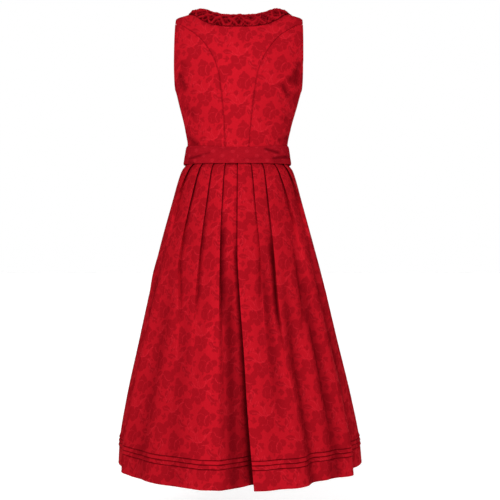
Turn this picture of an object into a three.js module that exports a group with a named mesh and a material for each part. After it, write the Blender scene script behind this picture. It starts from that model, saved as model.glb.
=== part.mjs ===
// A sleeveless dirndl in rose jacquard, hollow as it is worn: a bodice with curved princess seams, a
// ruched strip round the neckline, a knife-pleated skirt with three tucks above the hem, and an
// apron whose band goes round the waist and ties at the front.
// Millimetres, +Z up. The back faces -Y, the front +Y, and the wearer's left is -X. The origin is
// midway between the shoulders, where the wearer carries the garment.
import * as THREE from 'three';

// ---- Driving dimensions ----
const SEAM_GAP = 0.3;
const BODICE_WALL = 1.4;
const SKIRT_WALL = 1.3;
const BAND_WALL = 1.8;
const APRON_WALL = 1.2;
const WAIST = -363;
const SHOULDER = { neckHalf: 92, neckHeight: 7, tipHalf: 160, tipHeight: -14 };
const BACK_NECK = { height: -21.5, curve: 3 };
const FRONT_NECK = { height: -143, curve: 2.6 };
const ARMHOLE = { middle: -102, halfHeight: 88, backReach: 52, frontReach: 48, turnIn: 25 };
const BAND = {
  sideTop: -337,
  sideFoot: -384,
  backTop: -348,
  backFoot: -388,
  frontTop: -344,
  frontFoot: -388,
};
// The band's inside at its top and its foot: half width, depth behind and depth before.
const BAND_TOP_SIZE = { halfWidth: 128.3, back: 92.7, front: 95.2 };
const BAND_FOOT_SIZE = { halfWidth: 135.7, back: 98.2, front: 99.6 };
const TUCKS = { count: 3, first: -1070, pitch: 10, proud: 1.5, step: 0.8 };
const HEM = -1137;
const RUCHE = { width: 30, unit: 28, clear: 0.7, seat: 2.4, proud: 6.4, fold: 0.21, stride: 1.5 };
const PLEAT = { lap: 7, flatLap: -12, rise: 3.4, sink: 2.6, swell: 2.4, startFade: 70 };
const APRON = {
  halfAngle: 62,
  foot: -1087,
  gathers: 16,
  topLift: 6,
  hemLift: 16,
  hemWave: 4.5,
  topWaveShare: 0.35,
  flare: 14,
};
const BOW = {
  height: -366,
  wall: 1.2,
  knotHalf: 12.5,
  knotDepth: 9.5,
  knotHeight: 17,
  loopReach: 74,
  loopWidth: 36,
  loopPinched: 0.62,
  loopClear: 1.5,
  pinch: 3.2,
  puff: 7,
  droop: 16,
  endTop: -358,
  endFoot: -640,
  endWidth: 38,
  endPinched: 0.3,
  endFromMiddle: [7, 42],
  endClear: 1.8,
};

// ---- Tables: each row is one level, highest first, with smooth curves between the rows ----
// The bodice: half its width, and its depth behind and before the shoulders' plane.
const BODICE = table(['height', 'half_width', 'back_depth', 'front_depth'], [
  [7, 160, 46, 44],
  [-14, 160, 69, 62],
  [-50, 160.5, 89, 80],
  [-102, 161, 106, 104],
  [-150, 161.5, 111.5, 119],
  [-190, 161.5, 110, 123],
  [-202, 158, 108.5, 121.5],
  [-233, 150, 104.5, 114],
  [-294, 134, 96.5, 102],
  [-337, 126.8, 91.4, 93.9],
  [-363, 126, 90.5, 93],
]);
// The curved princess seams: how far each lies from the middle of the panel that it closes.
const BACK_SEAM = table(['height', 'from_middle'], [
  [-34, 160],
  [-38, 148],
  [-52, 128],
  [-71, 103.5],
  [-97, 81],
  [-124, 64],
  [-148, 53.5],
  [-174, 46],
  [-225, 38.7],
  [-287, 32.6],
  [-363, 27.5],
]);
const FRONT_SEAM = table(['height', 'from_middle'], [
  [-82, 160.8],
  [-87, 154],
  [-110, 130],
  [-145, 106],
  [-190, 90],
  [-240, 80],
  [-363, 57],
]);
// Each seam runs up to the armhole. The side panel's tip goes from the height of its seam corner to
// that of its armhole corner, with rows below the armpit and beside the armhole.
const BACK_SEAM_ENDS = { seamCorner: -38, armholeCorner: -34, rowsBelow: 6, rowsBeside: 9 };
const FRONT_SEAM_ENDS = { seamCorner: -87, armholeCorner: -82, rowsBelow: 6, rowsBeside: 6 };
// The rows of the middle panels above those seams, and where the front neckline's lowest point lies.
const BACK_TOP_ROWS = [-36, BACK_SEAM_ENDS.armholeCorner, -26, -19, -15.5, SHOULDER.tipHeight];
const FRONT_TOP_ROWS = [-84.5, FRONT_SEAM_ENDS.armholeCorner, -66, -48, -33, -22, -15.5, SHOULDER.tipHeight];
const FRONT_NECK_ROW = 9;
// The skirt without its pleats, which is near enough an ellipse at every height.
const SKIRT = table(['height', 'half_width', 'depth'], [
  [-363, 124.5, 88],
  [-384, 130.5, 92.5],
  [-389, 134, 93.5],
  [-398, 140.5, 101],
  [-421, 149, 112],
  [-472, 163, 127],
  [-574, 191, 159],
  [-676, 217, 187],
  [-829, 252, 226],
  [-982, 287, 263],
  [-1084, 305, 284],
  [-1137, 309, 290],
]);
// The hips stand a little to one side of the shoulders and the hem.
const SWAY = table(['height', 'shift'], [
  [7, 0],
  [-225, -2.5],
  [-363, -5],
  [-560, -6],
  [-720, -4],
  [-850, -2.5],
  [-1000, -0.5],
  [-1137, 2],
]);
// The back pleats from the wearer's left to right. turn is 1 where the outer layer's edge points to the
// right and -1 where it points to the left. The angles are the edge's, from centre back, at the
// heights of PLEAT_LEVELS. A pleat starts and ends at the heights given, and endLap, endRise
// and endSink are the overlap left there and how far its edge stands out and its root goes in.
const PLEAT_LEVELS = [-363, -500, -610, -720, -850, -950, -1137];
const BACK_PLEATS = pleats([
  [-1, [-79, -81, -83, -73, -63.4, -62.7, -72], -600, HEM, 6, -2, 9],
  [1, [-53, -63.5, -62, -57, -50, -48, -50], 0, -545, -24, 0, 0],
  [1, [-39.3, -42, -42.4, -37.8, -35, -34, -34], 0, -800, -26, 0, 0],
  [1, [-25.4, -25.4, -25.4, -25.4, -25, -24, -22], 0, -830, -28, 0, 0],
  [1, [-12.6, -11.8, -10.9, -10.2, -9.4, -9, -8], 0, HEM, -26, 2, 6],
  [-1, [1.3, 1.1, 0.9, 2, 3.6, 4.3, 6.2], 0, HEM, 8, 5, 50],
  [-1, [15.1, 15.8, 16.5, 15.6, 16, 17, 20], 0, -790, -24, 0, 0],
  [-1, [28.3, 27.3, 26.3, 25.1, 25, 28, 30], 0, -900, -30, 0, 0],
  [-1, [42.5, 51.3, 55.4, 52, 46, 48, 52], 0, HEM, -58, -5, 25],
  [-1, [57.6, 72, 73, 66, 59, 57, 59], 0, -540, -20, 0, 0],
  [1, [79, 81, 81, 78, 71, 69, 64], -650, HEM, 9, -7, 23],
]);
// The skirt's rows: behind the band, level with its foot, and between the tucks and the hem.
const SKIRT_ROWS = { behindBand: -384, bandFoot: -389, between: 11, belowTucks: [-1100, -1118, HEM] };
const POINTS_BETWEEN_PLEATS = 2;
// The front pleats lie under the apron and are plain: two groups that turn away from the centre.
const FRONT_PLEATS = pleats([-64, -50, -36, -22, 22, 36, 50, 64].map(angle => [
  Math.sign(angle),
  PLEAT_LEVELS.map((level, index) => angle * (1 - 0.02 * index)),
  0,
  -900,
  -30,
  0,
  0,
]));

// ---- Tables and curves ----
function table(names, rows) {
  const rising = [...rows].sort((a, b) => a[0] - b[0]);
  return (name, height) => smoothValue(rising, names.indexOf(name), height);
}

// Interpolates a column with a curve that never overshoots its rows.
function smoothValue(rows, column, key) {
  const last = rows.length - 1;
  const held = Math.min(Math.max(key, rows[0][0]), rows[last][0]);
  let i = 0;
  while (i < last - 1 && held > rows[i + 1][0]) i += 1;
  const slope = k => (rows[k + 1][column] - rows[k][column]) / (rows[k + 1][0] - rows[k][0]);
  const bend = k => {
    if (k === 0 || k === last) return slope(Math.min(k, last - 1));
    const before = slope(k - 1);
    const after = slope(k);
    return before * after <= 0 ? 0 : (2 * before * after) / (before + after);
  };
  const span = rows[i + 1][0] - rows[i][0];
  const t = (held - rows[i][0]) / span;
  return (2 * t ** 3 - 3 * t ** 2 + 1) * rows[i][column]
    + (t ** 3 - 2 * t ** 2 + t) * span * bend(i)
    + (3 * t ** 2 - 2 * t ** 3) * rows[i + 1][column]
    + (t ** 3 - t ** 2) * span * bend(i + 1);
}

function pleats(rows) {
  const names = ['turn', 'angles', 'start', 'end', 'endLap', 'endRise', 'endSink'];
  return rows.map(row => Object.fromEntries(names.map((name, index) => [name, row[index]])));
}

function mix(from, to, share) {
  return from + (to - from) * share;
}

function ease(share) {
  const held = Math.min(Math.max(share, 0), 1);
  return held * held * (3 - 2 * held);
}

function radians(degrees) {
  return THREE.MathUtils.degToRad(degrees);
}

function steps(count) {
  return Array.from({ length: count + 1 }, (_, index) => index / count);
}

// ---- Solids ----
// A cloth wall between an outer and an inner surface. Each is a list of rows of points, and all
// rows have as many points. The rows of a closed wall go all the way round.
function clothWall(outerRows, innerRows, closed) {
  const points = [];
  const triangles = [];
  const place = rows => rows.map(row => row.map(point => points.push(point) - 1));
  const outer = place(outerRows);
  const inner = place(innerRows);
  const width = outerRows[0].length;
  const spans = closed ? width : width - 1;
  const quad = (a, b, c, d) => triangles.push([a, b, c], [a, c, d]);
  const skin = (rows, turned) => {
    for (let r = 0; r < rows.length - 1; r += 1) {
      for (let c = 0; c < spans; c += 1) {
        const next = (c + 1) % width;
        const corners = [rows[r][c], rows[r + 1][c], rows[r + 1][next], rows[r][next]];
        quad(...(turned ? corners.reverse() : corners));
      }
    }
  };
  skin(outer, false);
  skin(inner, true);
  const outerLast = outer[outer.length - 1];
  const innerLast = inner[inner.length - 1];
  for (let c = 0; c < spans; c += 1) {
    const next = (c + 1) % width;
    quad(outer[0][c], outer[0][next], inner[0][next], inner[0][c]);
    quad(outerLast[next], outerLast[c], innerLast[c], innerLast[next]);
  }
  if (!closed) {
    joinEdges(points, triangles, outer.map(row => row[0]), inner.map(row => row[0]), true);
    joinEdges(points, triangles, outer.map(row => row[width - 1]), inner.map(row => row[width - 1]), false);
  }
  return solid(points, triangles);
}

// Fills the rim between two lines of points that run the same way, whatever their counts.
function joinEdges(points, triangles, outer, inner, turned) {
  const reach = line => {
    const lengths = [0];
    for (let k = 1; k < line.length; k += 1) {
      lengths.push(lengths[k - 1] + points[line[k]].distanceTo(points[line[k - 1]]));
    }
    return lengths.map(length => length / lengths[line.length - 1]);
  };
  const outerReach = reach(outer);
  const innerReach = reach(inner);
  let i = 0;
  let j = 0;
  while (i < outer.length - 1 || j < inner.length - 1) {
    const alongOuter = j === inner.length - 1
      || (i < outer.length - 1 && outerReach[i + 1] <= innerReach[j + 1]);
    const triangle = alongOuter ? [outer[i], outer[i + 1], inner[j]] : [outer[i], inner[j + 1], inner[j]];
    triangles.push(turned ? triangle.reverse() : triangle);
    if (alongOuter) i += 1;
    else j += 1;
  }
}

// Builds a geometry with its faces pointing out.
function solid(points, triangles) {
  let volume = 0;
  for (const [a, b, c] of triangles) {
    volume += points[a].dot(new THREE.Vector3().crossVectors(points[b], points[c]));
  }
  const outward = volume < 0 ? triangles.map(([a, b, c]) => [a, c, b]) : triangles;
  const geometry = new THREE.BufferGeometry().setFromPoints(points);
  geometry.setIndex(outward.flat());
  geometry.computeVertexNormals();
  return geometry;
}

// Moves a level row of points sideways by the wall, with mitred corners, so that folds keep it.
// side is 1 for a row whose inside lies to its right and -1 for one whose inside lies to its left.
function insideRow(row, wall, side, closed) {
  const normal = (from, to) => {
    const along = to.clone().sub(from);
    return new THREE.Vector3(side * along.y, -side * along.x, 0).normalize();
  };
  const count = row.length;
  return row.map((point, index) => {
    if (!closed && (index === 0 || index === count - 1)) {
      return new THREE.Vector3(point.x - Math.sign(point.x) * wall, point.y, point.z);
    }
    const before = normal(row[(index + count - 1) % count], point);
    const after = normal(point, row[(index + 1) % count]);
    const mitre = Math.min(wall / (1 + before.dot(after)), 1.8 * wall);
    return point.clone().addScaledVector(before.add(after), mitre);
  });
}

// ---- The bodice's surface ----
function bodiceSection(side, height) {
  const reach = Math.sqrt(Math.max(0, 1 - ((height - ARMHOLE.middle) / ARMHOLE.halfHeight) ** 2));
  const slope = (height - SHOULDER.tipHeight) / (SHOULDER.neckHeight - SHOULDER.tipHeight);
  const onShoulder = height > SHOULDER.tipHeight;
  return {
    halfWidth: onShoulder ? mix(SHOULDER.tipHalf, SHOULDER.neckHalf, slope) : BODICE('half_width', height),
    depth: BODICE(side < 0 ? 'back_depth' : 'front_depth', height),
    edgeDepth: reach * (side < 0 ? ARMHOLE.backReach : ARMHOLE.frontReach),
    endAngle: radians(90 - ARMHOLE.turnIn * reach),
  };
}

// side is -1 for the back and 1 for the front, and the angle runs from the middle to the side.
function bodicePoint(side, angle, height) {
  const { halfWidth, depth, edgeDepth, endAngle } = bodiceSection(side, height);
  const share = (Math.cos(angle) - Math.cos(endAngle)) / (1 - Math.cos(endAngle));
  const x = (halfWidth * Math.sin(angle)) / Math.sin(endAngle) + SWAY('shift', height);
  return new THREE.Vector3(x, side * mix(edgeDepth, depth, share), height);
}

function bodiceAngle(side, fromMiddle, height) {
  const { halfWidth, endAngle } = bodiceSection(side, height);
  return Math.asin(Math.min(Math.max((fromMiddle * Math.sin(endAngle)) / halfWidth, -1), 1));
}

// How the surface point moves with the angle and with the height.
function bodiceSlopes(side, angle, height) {
  const nudge = 0.001;
  const slope = (a, b) => a.sub(b).divideScalar(2 * nudge);
  return [
    slope(bodicePoint(side, angle + nudge, height), bodicePoint(side, angle - nudge, height)),
    slope(bodicePoint(side, angle, height + nudge), bodicePoint(side, angle, height - nudge)),
  ];
}

function bodiceNormal(side, angle, height) {
  const [along, up] = bodiceSlopes(side, angle, height);
  return along.cross(up).normalize().multiplyScalar(-side);
}

// ---- Bodice panels ----
// Spans four edges, each a function of 0..1 that gives a place across and a height, with a grid.
function span(edges, columns, rows) {
  const { foot, top, left, right } = edges;
  const [footLeft, footRight, topLeft, topRight] = [foot(0), foot(1), top(0), top(1)];
  return rows.map(v => columns.map(u => [0, 1].map(k => (
    (1 - v) * foot(u)[k] + v * top(u)[k] + (1 - u) * left(v)[k] + u * right(v)[k]
    - (1 - u) * (1 - v) * footLeft[k] - u * (1 - v) * footRight[k]
    - (1 - u) * v * topLeft[k] - u * v * topRight[k]
  ))));
}

// Draws a panel's edges in by half a seam's gap, square to each edge.
function drawIn(grid) {
  const lastRow = grid.length - 1;
  const lastColumn = grid[0].length - 1;
  const pull = (row, column, inward, alongA, alongB) => {
    const point = grid[row][column];
    const along = alongA.clone().sub(alongB).normalize();
    const across = inward.clone().sub(point);
    across.addScaledVector(along, -across.dot(along)).setLength(SEAM_GAP / 2);
    return point.clone().add(across);
  };
  const near = (index, last) => [Math.max(index - 1, 0), Math.min(index + 1, last)];
  const columnsMoved = grid.map((row, r) => row.map((point, c) => {
    const [above, below] = near(r, lastRow);
    if (c === 0) return pull(r, c, grid[r][1], grid[below][0], grid[above][0]);
    if (c === lastColumn) return pull(r, c, grid[r][c - 1], grid[below][c], grid[above][c]);
    return point;
  }));
  return columnsMoved.map((row, r) => row.map((point, c) => {
    if (r !== 0 && r !== lastRow) return point;
    const [before, after] = near(c, lastColumn);
    const inward = grid[r === 0 ? 1 : lastRow - 1][c];
    const moved = pull(r, c, inward, grid[r][after], grid[r][before]);
    return point.clone().add(moved.sub(grid[r][c]));
  }));
}

// A panel of the bodice: places are turned into angles, walls go in along the surface's normals,
// and nothing crosses the plane in which the back meets the front.
function bodicePanel(side, mirror, places, angleAt) {
  const spots = places.map(row => row.map(([across, height]) => [mirror * angleAt(across, height), height]));
  const surface = spots.map(row => row.map(([angle, height]) => bodicePoint(side, angle, height)));
  const outer = drawIn(surface);
  const held = point => {
    point.y = side * Math.max(side * point.y, SEAM_GAP / 2);
    return point;
  };
  outer.flat().forEach(held);
  const inner = outer.map((row, r) => row.map((point, c) => {
    const [angle, height] = spots[r][c];
    return held(point.clone().addScaledVector(bodiceNormal(side, angle, height), -BODICE_WALL));
  }));
  return clothWall(outer, inner, false);
}

function backNeckHeight(x) {
  const rise = SHOULDER.neckHeight - BACK_NECK.height;
  return BACK_NECK.height + rise * (Math.abs(x) / SHOULDER.neckHalf) ** BACK_NECK.curve;
}

function shoulderHeight(x) {
  const share = (Math.abs(x) - SHOULDER.neckHalf) / (SHOULDER.tipHalf - SHOULDER.neckHalf);
  return mix(SHOULDER.neckHeight, SHOULDER.tipHeight, share);
}

// The front neckline from centre front, at 0, to the shoulder, at a quarter turn.
function frontNeck(turn) {
  const power = 2 / FRONT_NECK.curve;
  const drop = SHOULDER.neckHeight - FRONT_NECK.height;
  const across = Math.max(Math.sin(turn), 0) ** power;
  const down = Math.max(Math.cos(turn), 0) ** power;
  return [SHOULDER.neckHalf * across, SHOULDER.neckHeight - drop * down];
}

// Both panels beside a princess seam have rows at these heights, so that their edges run alike:
// even ones up to the armpit, and from there even turns round the armhole.
function seamHeights({ seamCorner, rowsBelow, rowsBeside }) {
  const { middle, halfHeight } = ARMHOLE;
  const turned = Math.acos((middle - seamCorner) / halfHeight);
  const below = steps(rowsBelow).map(t => mix(WAIST, armpit(), t));
  const beside = steps(rowsBeside).slice(1).map(t => middle - halfHeight * Math.cos(t * turned));
  return [...below, ...beside];
}

function armpit() {
  return ARMHOLE.middle - ARMHOLE.halfHeight;
}

function backCentre() {
  const tops = [0, 23, 47, 70, 84, SHOULDER.neckHalf, 114, 137, SHOULDER.tipHalf];
  const halves = tops.map(x => x / SHOULDER.tipHalf);
  const columns = [...halves.slice(1).reverse().map(s => (1 - s) / 2), ...halves.map(s => (1 + s) / 2)];
  const heights = [...seamHeights(BACK_SEAM_ENDS), ...BACK_TOP_ROWS];
  const rows = heights.map(height => (height - WAIST) / (SHOULDER.tipHeight - WAIST));
  const seam = sign => v => {
    const height = mix(WAIST, SHOULDER.tipHeight, v);
    return [sign * BACK_SEAM('from_middle', height), height];
  };
  const waistHalf = BACK_SEAM('from_middle', WAIST);
  const edges = {
    foot: u => [mix(-waistHalf, waistHalf, u), WAIST],
    top: u => {
      const x = mix(-SHOULDER.tipHalf, SHOULDER.tipHalf, u);
      return [x, Math.abs(x) < SHOULDER.neckHalf ? backNeckHeight(x) : shoulderHeight(x)];
    },
    left: seam(-1),
    right: seam(1),
  };
  const angleAt = (x, height) => bodiceAngle(-1, x, height);
  return bodicePanel(-1, 1, span(edges, columns, rows), angleAt);
}

// A side panel from its princess seam to the side seam and the armhole. Across is a share of the
// section from the middle to the side.
function sidePanel(side, mirror, seamTable, ends, columns) {
  const share = height => {
    const { endAngle } = bodiceSection(side, height);
    return bodiceAngle(side, seamTable('from_middle', height), height) / endAngle;
  };
  const besideSeam = v => mix(WAIST, ends.seamCorner, v);
  const besideArmhole = v => {
    const above = (besideSeam(v) - armpit()) / (ends.seamCorner - armpit());
    return above > 0 ? mix(armpit(), ends.armholeCorner, above) : besideSeam(v);
  };
  const edges = {
    foot: u => [mix(share(WAIST), 1, u), WAIST],
    top: u => {
      const height = mix(ends.seamCorner, ends.armholeCorner, u);
      return [share(height), height];
    },
    left: v => [share(besideSeam(v)), besideSeam(v)],
    right: v => [1, besideArmhole(v)],
  };
  const rows = seamHeights(ends).map(height => (height - WAIST) / (ends.seamCorner - WAIST));
  const angleAt = (part, height) => part * bodiceSection(side, height).endAngle;
  return bodicePanel(side, mirror, span(edges, steps(columns), rows), angleAt);
}

function frontPanel(mirror) {
  const heights = [...seamHeights(FRONT_SEAM_ENDS), ...FRONT_TOP_ROWS];
  const rows = heights.map(height => (height - WAIST) / (SHOULDER.tipHeight - WAIST));
  const neckFrom = rows[FRONT_NECK_ROW];
  const waistHalf = FRONT_SEAM('from_middle', WAIST);
  const edges = {
    foot: u => [mix(0, waistHalf, u), WAIST],
    top: u => {
      const x = mix(SHOULDER.neckHalf, SHOULDER.tipHalf, u);
      return [x, shoulderHeight(x)];
    },
    left: v => {
      if (v < neckFrom) return [0, mix(WAIST, FRONT_NECK.height, v / neckFrom)];
      return frontNeck(((v - neckFrom) / (1 - neckFrom)) * (Math.PI / 2));
    },
    right: v => {
      const height = mix(WAIST, SHOULDER.tipHeight, v);
      return [FRONT_SEAM('from_middle', height), height];
    },
  };
  const angleAt = (x, height) => bodiceAngle(1, x, height);
  return bodicePanel(1, mirror, span(edges, steps(5), rows), angleAt);
}

// ---- The ruched strip round the neckline ----
// Goes from one place on the bodice over its surface, a given way in the given direction.
function walk(place, direction, distance) {
  const { side, angle, height } = place;
  const [along, up] = bodiceSlopes(side, angle, height);
  const [aa, au, uu] = [along.dot(along), along.dot(up), up.dot(up)];
  const [da, du] = [along.dot(direction), up.dot(direction)];
  const det = aa * uu - au * au;
  return {
    side,
    angle: angle + (distance * (da * uu - du * au)) / det,
    height: height + (distance * (du * aa - da * au)) / det,
  };
}

// Places along the neckline from centre front over the wearer's right shoulder to centre back.
function halfNeckline() {
  const places = [];
  for (const t of steps(60)) {
    const [x, height] = frontNeck(t * (Math.PI / 2));
    places.push({ side: 1, angle: bodiceAngle(1, x, height), height });
  }
  for (const t of steps(48).slice(1)) {
    const x = SHOULDER.neckHalf * Math.cos(t * (Math.PI / 2)) ** 0.8;
    const height = backNeckHeight(x);
    places.push({ side: -1, angle: bodiceAngle(-1, x, height), height });
  }
  return places;
}

// How far the folded strip stands up: two families of folds cross it from pinch to pinch, so that
// small mouths open between them. along is in units of the pattern and across goes from 0 to 1.
function rucheRelief(along, across) {
  const fold = phase => Math.max(0, 1 - Math.abs(phase - Math.round(phase)) / RUCHE.fold);
  const ridge = Math.max(fold(along - across / 2), fold(along + across / 2));
  const rounded = Math.sin(Math.PI * Math.min(Math.max(across, 0.06), 0.94)) ** 0.45;
  return (RUCHE.seat + RUCHE.proud * ease(ridge)) * rounded;
}

function surfacePoint({ side, angle, height }, lift) {
  return bodicePoint(side, angle, height).addScaledVector(bodiceNormal(side, angle, height), lift);
}

// A place at a distance along the neckline from centre front, and the way from there down the bodice.
function neckStation(places, lengths, distance) {
  let k = 0;
  while (k < lengths.length - 2 && distance > lengths[k + 1]) k += 1;
  const [here, next] = [places[k], places[k + 1]];
  const part = (distance - lengths[k]) / (lengths[k + 1] - lengths[k]);
  const ahead = surfacePoint(next, 0).sub(surfacePoint(here, 0));
  const away = bodiceNormal(here.side, here.angle, here.height).cross(ahead).normalize();
  if (here.side !== next.side) return { place: part < 0.5 ? here : next, away };
  const place = {
    side: here.side,
    angle: mix(here.angle, next.angle, part),
    height: mix(here.height, next.height, part),
  };
  return { place, away };
}

function neckRuche() {
  const places = halfNeckline();
  const points = places.map(place => surfacePoint(place, 0));
  const lengths = [0];
  points.slice(1).forEach((point, k) => lengths.push(lengths[k] + point.distanceTo(points[k])));
  const round = 2 * lengths[lengths.length - 1];
  const units = Math.round(round / RUCHE.unit);
  const widths = steps(5).map(t => t * RUCHE.width);
  const crossing = (share, lifted) => {
    const mirror = share > 0.5 ? -1 : 1;
    const distance = Math.max(round * Math.min(share, 1 - share), SEAM_GAP);
    const { place: start, away } = neckStation(places, lengths, distance);
    let place = start;
    let walked = 0;
    return widths.map(width => {
      for (; walked < Math.round(width / RUCHE.stride); walked += 1) place = walk(place, away, RUCHE.stride);
      const relief = lifted ? rucheRelief(share * units, width / RUCHE.width) : 0;
      const point = surfacePoint(place, RUCHE.clear + relief);
      const shift = SWAY('shift', place.height);
      return new THREE.Vector3(mirror * (point.x - shift) + shift, point.y, point.z);
    });
  };
  const outer = steps(units * 6).map(share => crossing(share, true));
  const inner = steps(units * 3).map(share => crossing(share, false));
  return clothWall(outer, inner, false);
}

// ---- The skirt ----
function skirtPoint(side, angle, height, lift) {
  const width = SKIRT('half_width', height);
  const depth = SKIRT('depth', height);
  const normal = new THREE.Vector2(depth * Math.sin(angle), width * Math.cos(angle)).normalize();
  const x = width * Math.sin(angle) + lift * normal.x + SWAY('shift', height);
  return new THREE.Vector3(x, side * (depth * Math.cos(angle) + lift * normal.y), height);
}

// A pleat at one height: where its edge and its root are, and how far they stand out and go in.
function pleatAt(pleat, height) {
  const levels = PLEAT_LEVELS.map((level, index) => [level, pleat.angles[index]]).reverse();
  const edge = radians(smoothValue(levels, 1, height));
  const top = Math.min(pleat.start, WAIST);
  const share = Math.min(Math.max((top - height) / (top - pleat.end), 0), 1);
  const grown = pleat.start === 0 ? 1 : ease((top - height) / PLEAT.startFade);
  const swell = PLEAT.swell * Math.sin(Math.PI * share);
  const lap = mix(PLEAT.flatLap, mix(PLEAT.lap, pleat.endLap, ease(share)), grown);
  const width = SKIRT('half_width', height);
  const depth = SKIRT('depth', height);
  const radius = Math.hypot(width * Math.cos(edge), depth * Math.sin(edge));
  return {
    turn: pleat.turn,
    edge,
    root: edge - (pleat.turn * lap) / radius,
    rise: (mix(PLEAT.rise, pleat.endRise, share) + swell) * grown,
    sink: (mix(PLEAT.sink, pleat.endSink, share ** 1.6) + swell) * grown,
  };
}

// One level row round half the skirt, as pairs of an angle and a lift: over each pleat's edge, back
// under it to its root, and on to the next pleat, with points between the two.
function pleatRow(list, height) {
  const corners = list.map(pleat => {
    const { turn, edge, root, rise, sink } = pleatAt(pleat, height);
    const path = [[edge, rise], [root, -sink]];
    return turn > 0 ? path : path.reverse();
  });
  const ends = [[[-Math.PI / 2, 0], [-Math.PI / 2, 0]], ...corners, [[Math.PI / 2, 0], [Math.PI / 2, 0]]];
  const row = [ends[0][0]];
  for (let k = 1; k < ends.length; k += 1) {
    const from = ends[k - 1][1];
    const to = ends[k][0];
    for (const share of steps(POINTS_BETWEEN_PLEATS + 1).slice(1, -1)) {
      row.push([mix(from[0], to[0], share), mix(from[1], to[1], ease(share))]);
    }
    row.push(to);
    if (k < ends.length - 1) row.push(ends[k][1]);
  }
  return row;
}

// The tucks are folds of the outer face alone: each swells to its lower edge and steps back.
function tuckLevels() {
  const levels = [];
  for (let k = 0; k < TUCKS.count; k += 1) {
    const edge = TUCKS.first - k * TUCKS.pitch;
    levels.push([edge, TUCKS.proud], [edge - TUCKS.step, 0.2]);
  }
  return levels;
}

function skirtHalf(side, list) {
  const { behindBand, bandFoot, between, belowTucks } = SKIRT_ROWS;
  const tuckTop = TUCKS.first + TUCKS.pitch;
  const above = steps(between).map(t => mix(bandFoot, tuckTop, t ** 1.5));
  const plain = [WAIST - SEAM_GAP / 2, behindBand, ...above, ...belowTucks].map(level => [level, 0]);
  const dressed = [...plain, ...tuckLevels()].sort((a, b) => b[0] - a[0]);
  const level = ([height, proud]) => pleatRow(list, height)
    .map(([angle, lift]) => skirtPoint(side, angle, height, lift + proud));
  const clearOfSeam = row => {
    for (const end of [row[0], row[row.length - 1]]) end.y = (side * SEAM_GAP) / 2;
    return row;
  };
  const outer = dressed.map(entry => clearOfSeam(level(entry)));
  const inner = plain.map(entry => insideRow(clearOfSeam(level(entry)), SKIRT_WALL, side, false));
  return clothWall(outer, inner, false);
}

// ---- The apron ----
function bandEdge(angle, side, foot) {
  const middle = Math.cos(angle) ** 2;
  const [sideHeight, backHeight, frontHeight] = foot
    ? [BAND.sideFoot, BAND.backFoot, BAND.frontFoot]
    : [BAND.sideTop, BAND.backTop, BAND.frontTop];
  return mix(sideHeight, side < 0 ? backHeight : frontHeight, middle);
}

function bandPoint(turn, down, lift) {
  const side = Math.cos(turn) > 0 ? -1 : 1;
  const height = mix(bandEdge(turn, side, false), bandEdge(turn, side, true), down);
  const width = mix(BAND_TOP_SIZE.halfWidth, BAND_FOOT_SIZE.halfWidth, down) + lift;
  const key = side < 0 ? 'back' : 'front';
  const depth = mix(BAND_TOP_SIZE[key], BAND_FOOT_SIZE[key], down) + lift;
  const x = width * Math.sin(turn) + SWAY('shift', height);
  return new THREE.Vector3(x, -depth * Math.cos(turn), height);
}

function apronBand() {
  const turns = steps(56).slice(0, -1).map(t => t * 2 * Math.PI);
  const ring = (down, lift) => turns.map(turn => bandPoint(turn, down, lift));
  const outer = steps(4).map(down => ring(down, BAND_WALL));
  const inner = steps(1).map(down => ring(down, 0));
  return clothWall(outer, inner, true);
}

// The apron hangs from the band's lower edge, outside the front pleats. share goes across it from
// -1 to 1, and lift is how far a point stands out from the apron's outer face.
function apronPoint(share, height, lift) {
  const angle = radians(APRON.halfAngle) * share;
  const top = bandEdge(angle, 1, true) - SEAM_GAP;
  const down = Math.max(0, (top - height) / (top - APRON.foot));
  const { base, wave } = apronForm(down);
  const gathered = wave * Math.cos(Math.PI * APRON.gathers * share);
  const hanging = skirtPoint(1, angle, height, base + gathered + lift);
  const sewn = bandPoint(Math.PI - angle, 1, BAND_WALL + lift);
  sewn.z = height;
  return sewn.lerp(hanging, ease((top - height) / APRON.flare));
}

// How far the apron stands out from the skirt's form, and how deep its gathers are.
function apronForm(down) {
  const grown = Math.min(1, down * 4) ** 0.8;
  return {
    base: mix(APRON.topLift, APRON.hemLift, down ** 0.6),
    wave: APRON.hemWave * grown * mix(APRON.topWaveShare, 1, down),
  };
}

function apronPanel() {
  const shares = steps(APRON.gathers * 2).map(t => 2 * t - 1);
  const levels = steps(11).map(t => t ** 1.8);
  const surface = lift => levels.map(t => shares.map(share => {
    const top = bandEdge(radians(APRON.halfAngle) * share, 1, true) - SEAM_GAP;
    return apronPoint(share, mix(top, APRON.foot, t), lift);
  }));
  return clothWall(surface(0), surface(-APRON_WALL), false);
}

// A loop of the bow: a flat ring of the tie, pinched towards the knot.
function bowLoop(mirror) {
  const seat = bandPoint(Math.PI, 0.5, BAND_WALL);
  const turns = steps(20).slice(0, -1).map(t => t * 2 * Math.PI);
  const ring = (down, inset) => turns.map(turn => {
    const reach = (1 + Math.cos(turn)) / 2;
    const halfLength = BOW.loopReach / 2 - inset;
    const x = BOW.knotHalf + SEAM_GAP + BOW.loopReach / 2 + halfLength * Math.cos(turn);
    const halfDepth = BOW.pinch + BOW.puff * reach ** 0.7 - inset;
    const y = seat.y + BOW.knotDepth + BOW.loopClear + halfDepth * Math.sin(turn);
    const spread = mix(BOW.loopPinched, 1, reach) * BOW.loopWidth;
    const z = BOW.height - BOW.droop * reach ** 1.5 + (0.5 - down) * spread;
    return new THREE.Vector3(seat.x + mirror * x, y, z);
  });
  const surface = inset => steps(3).map(down => ring(down, inset));
  return clothWall(surface(0), surface(BOW.wall), true);
}

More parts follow.
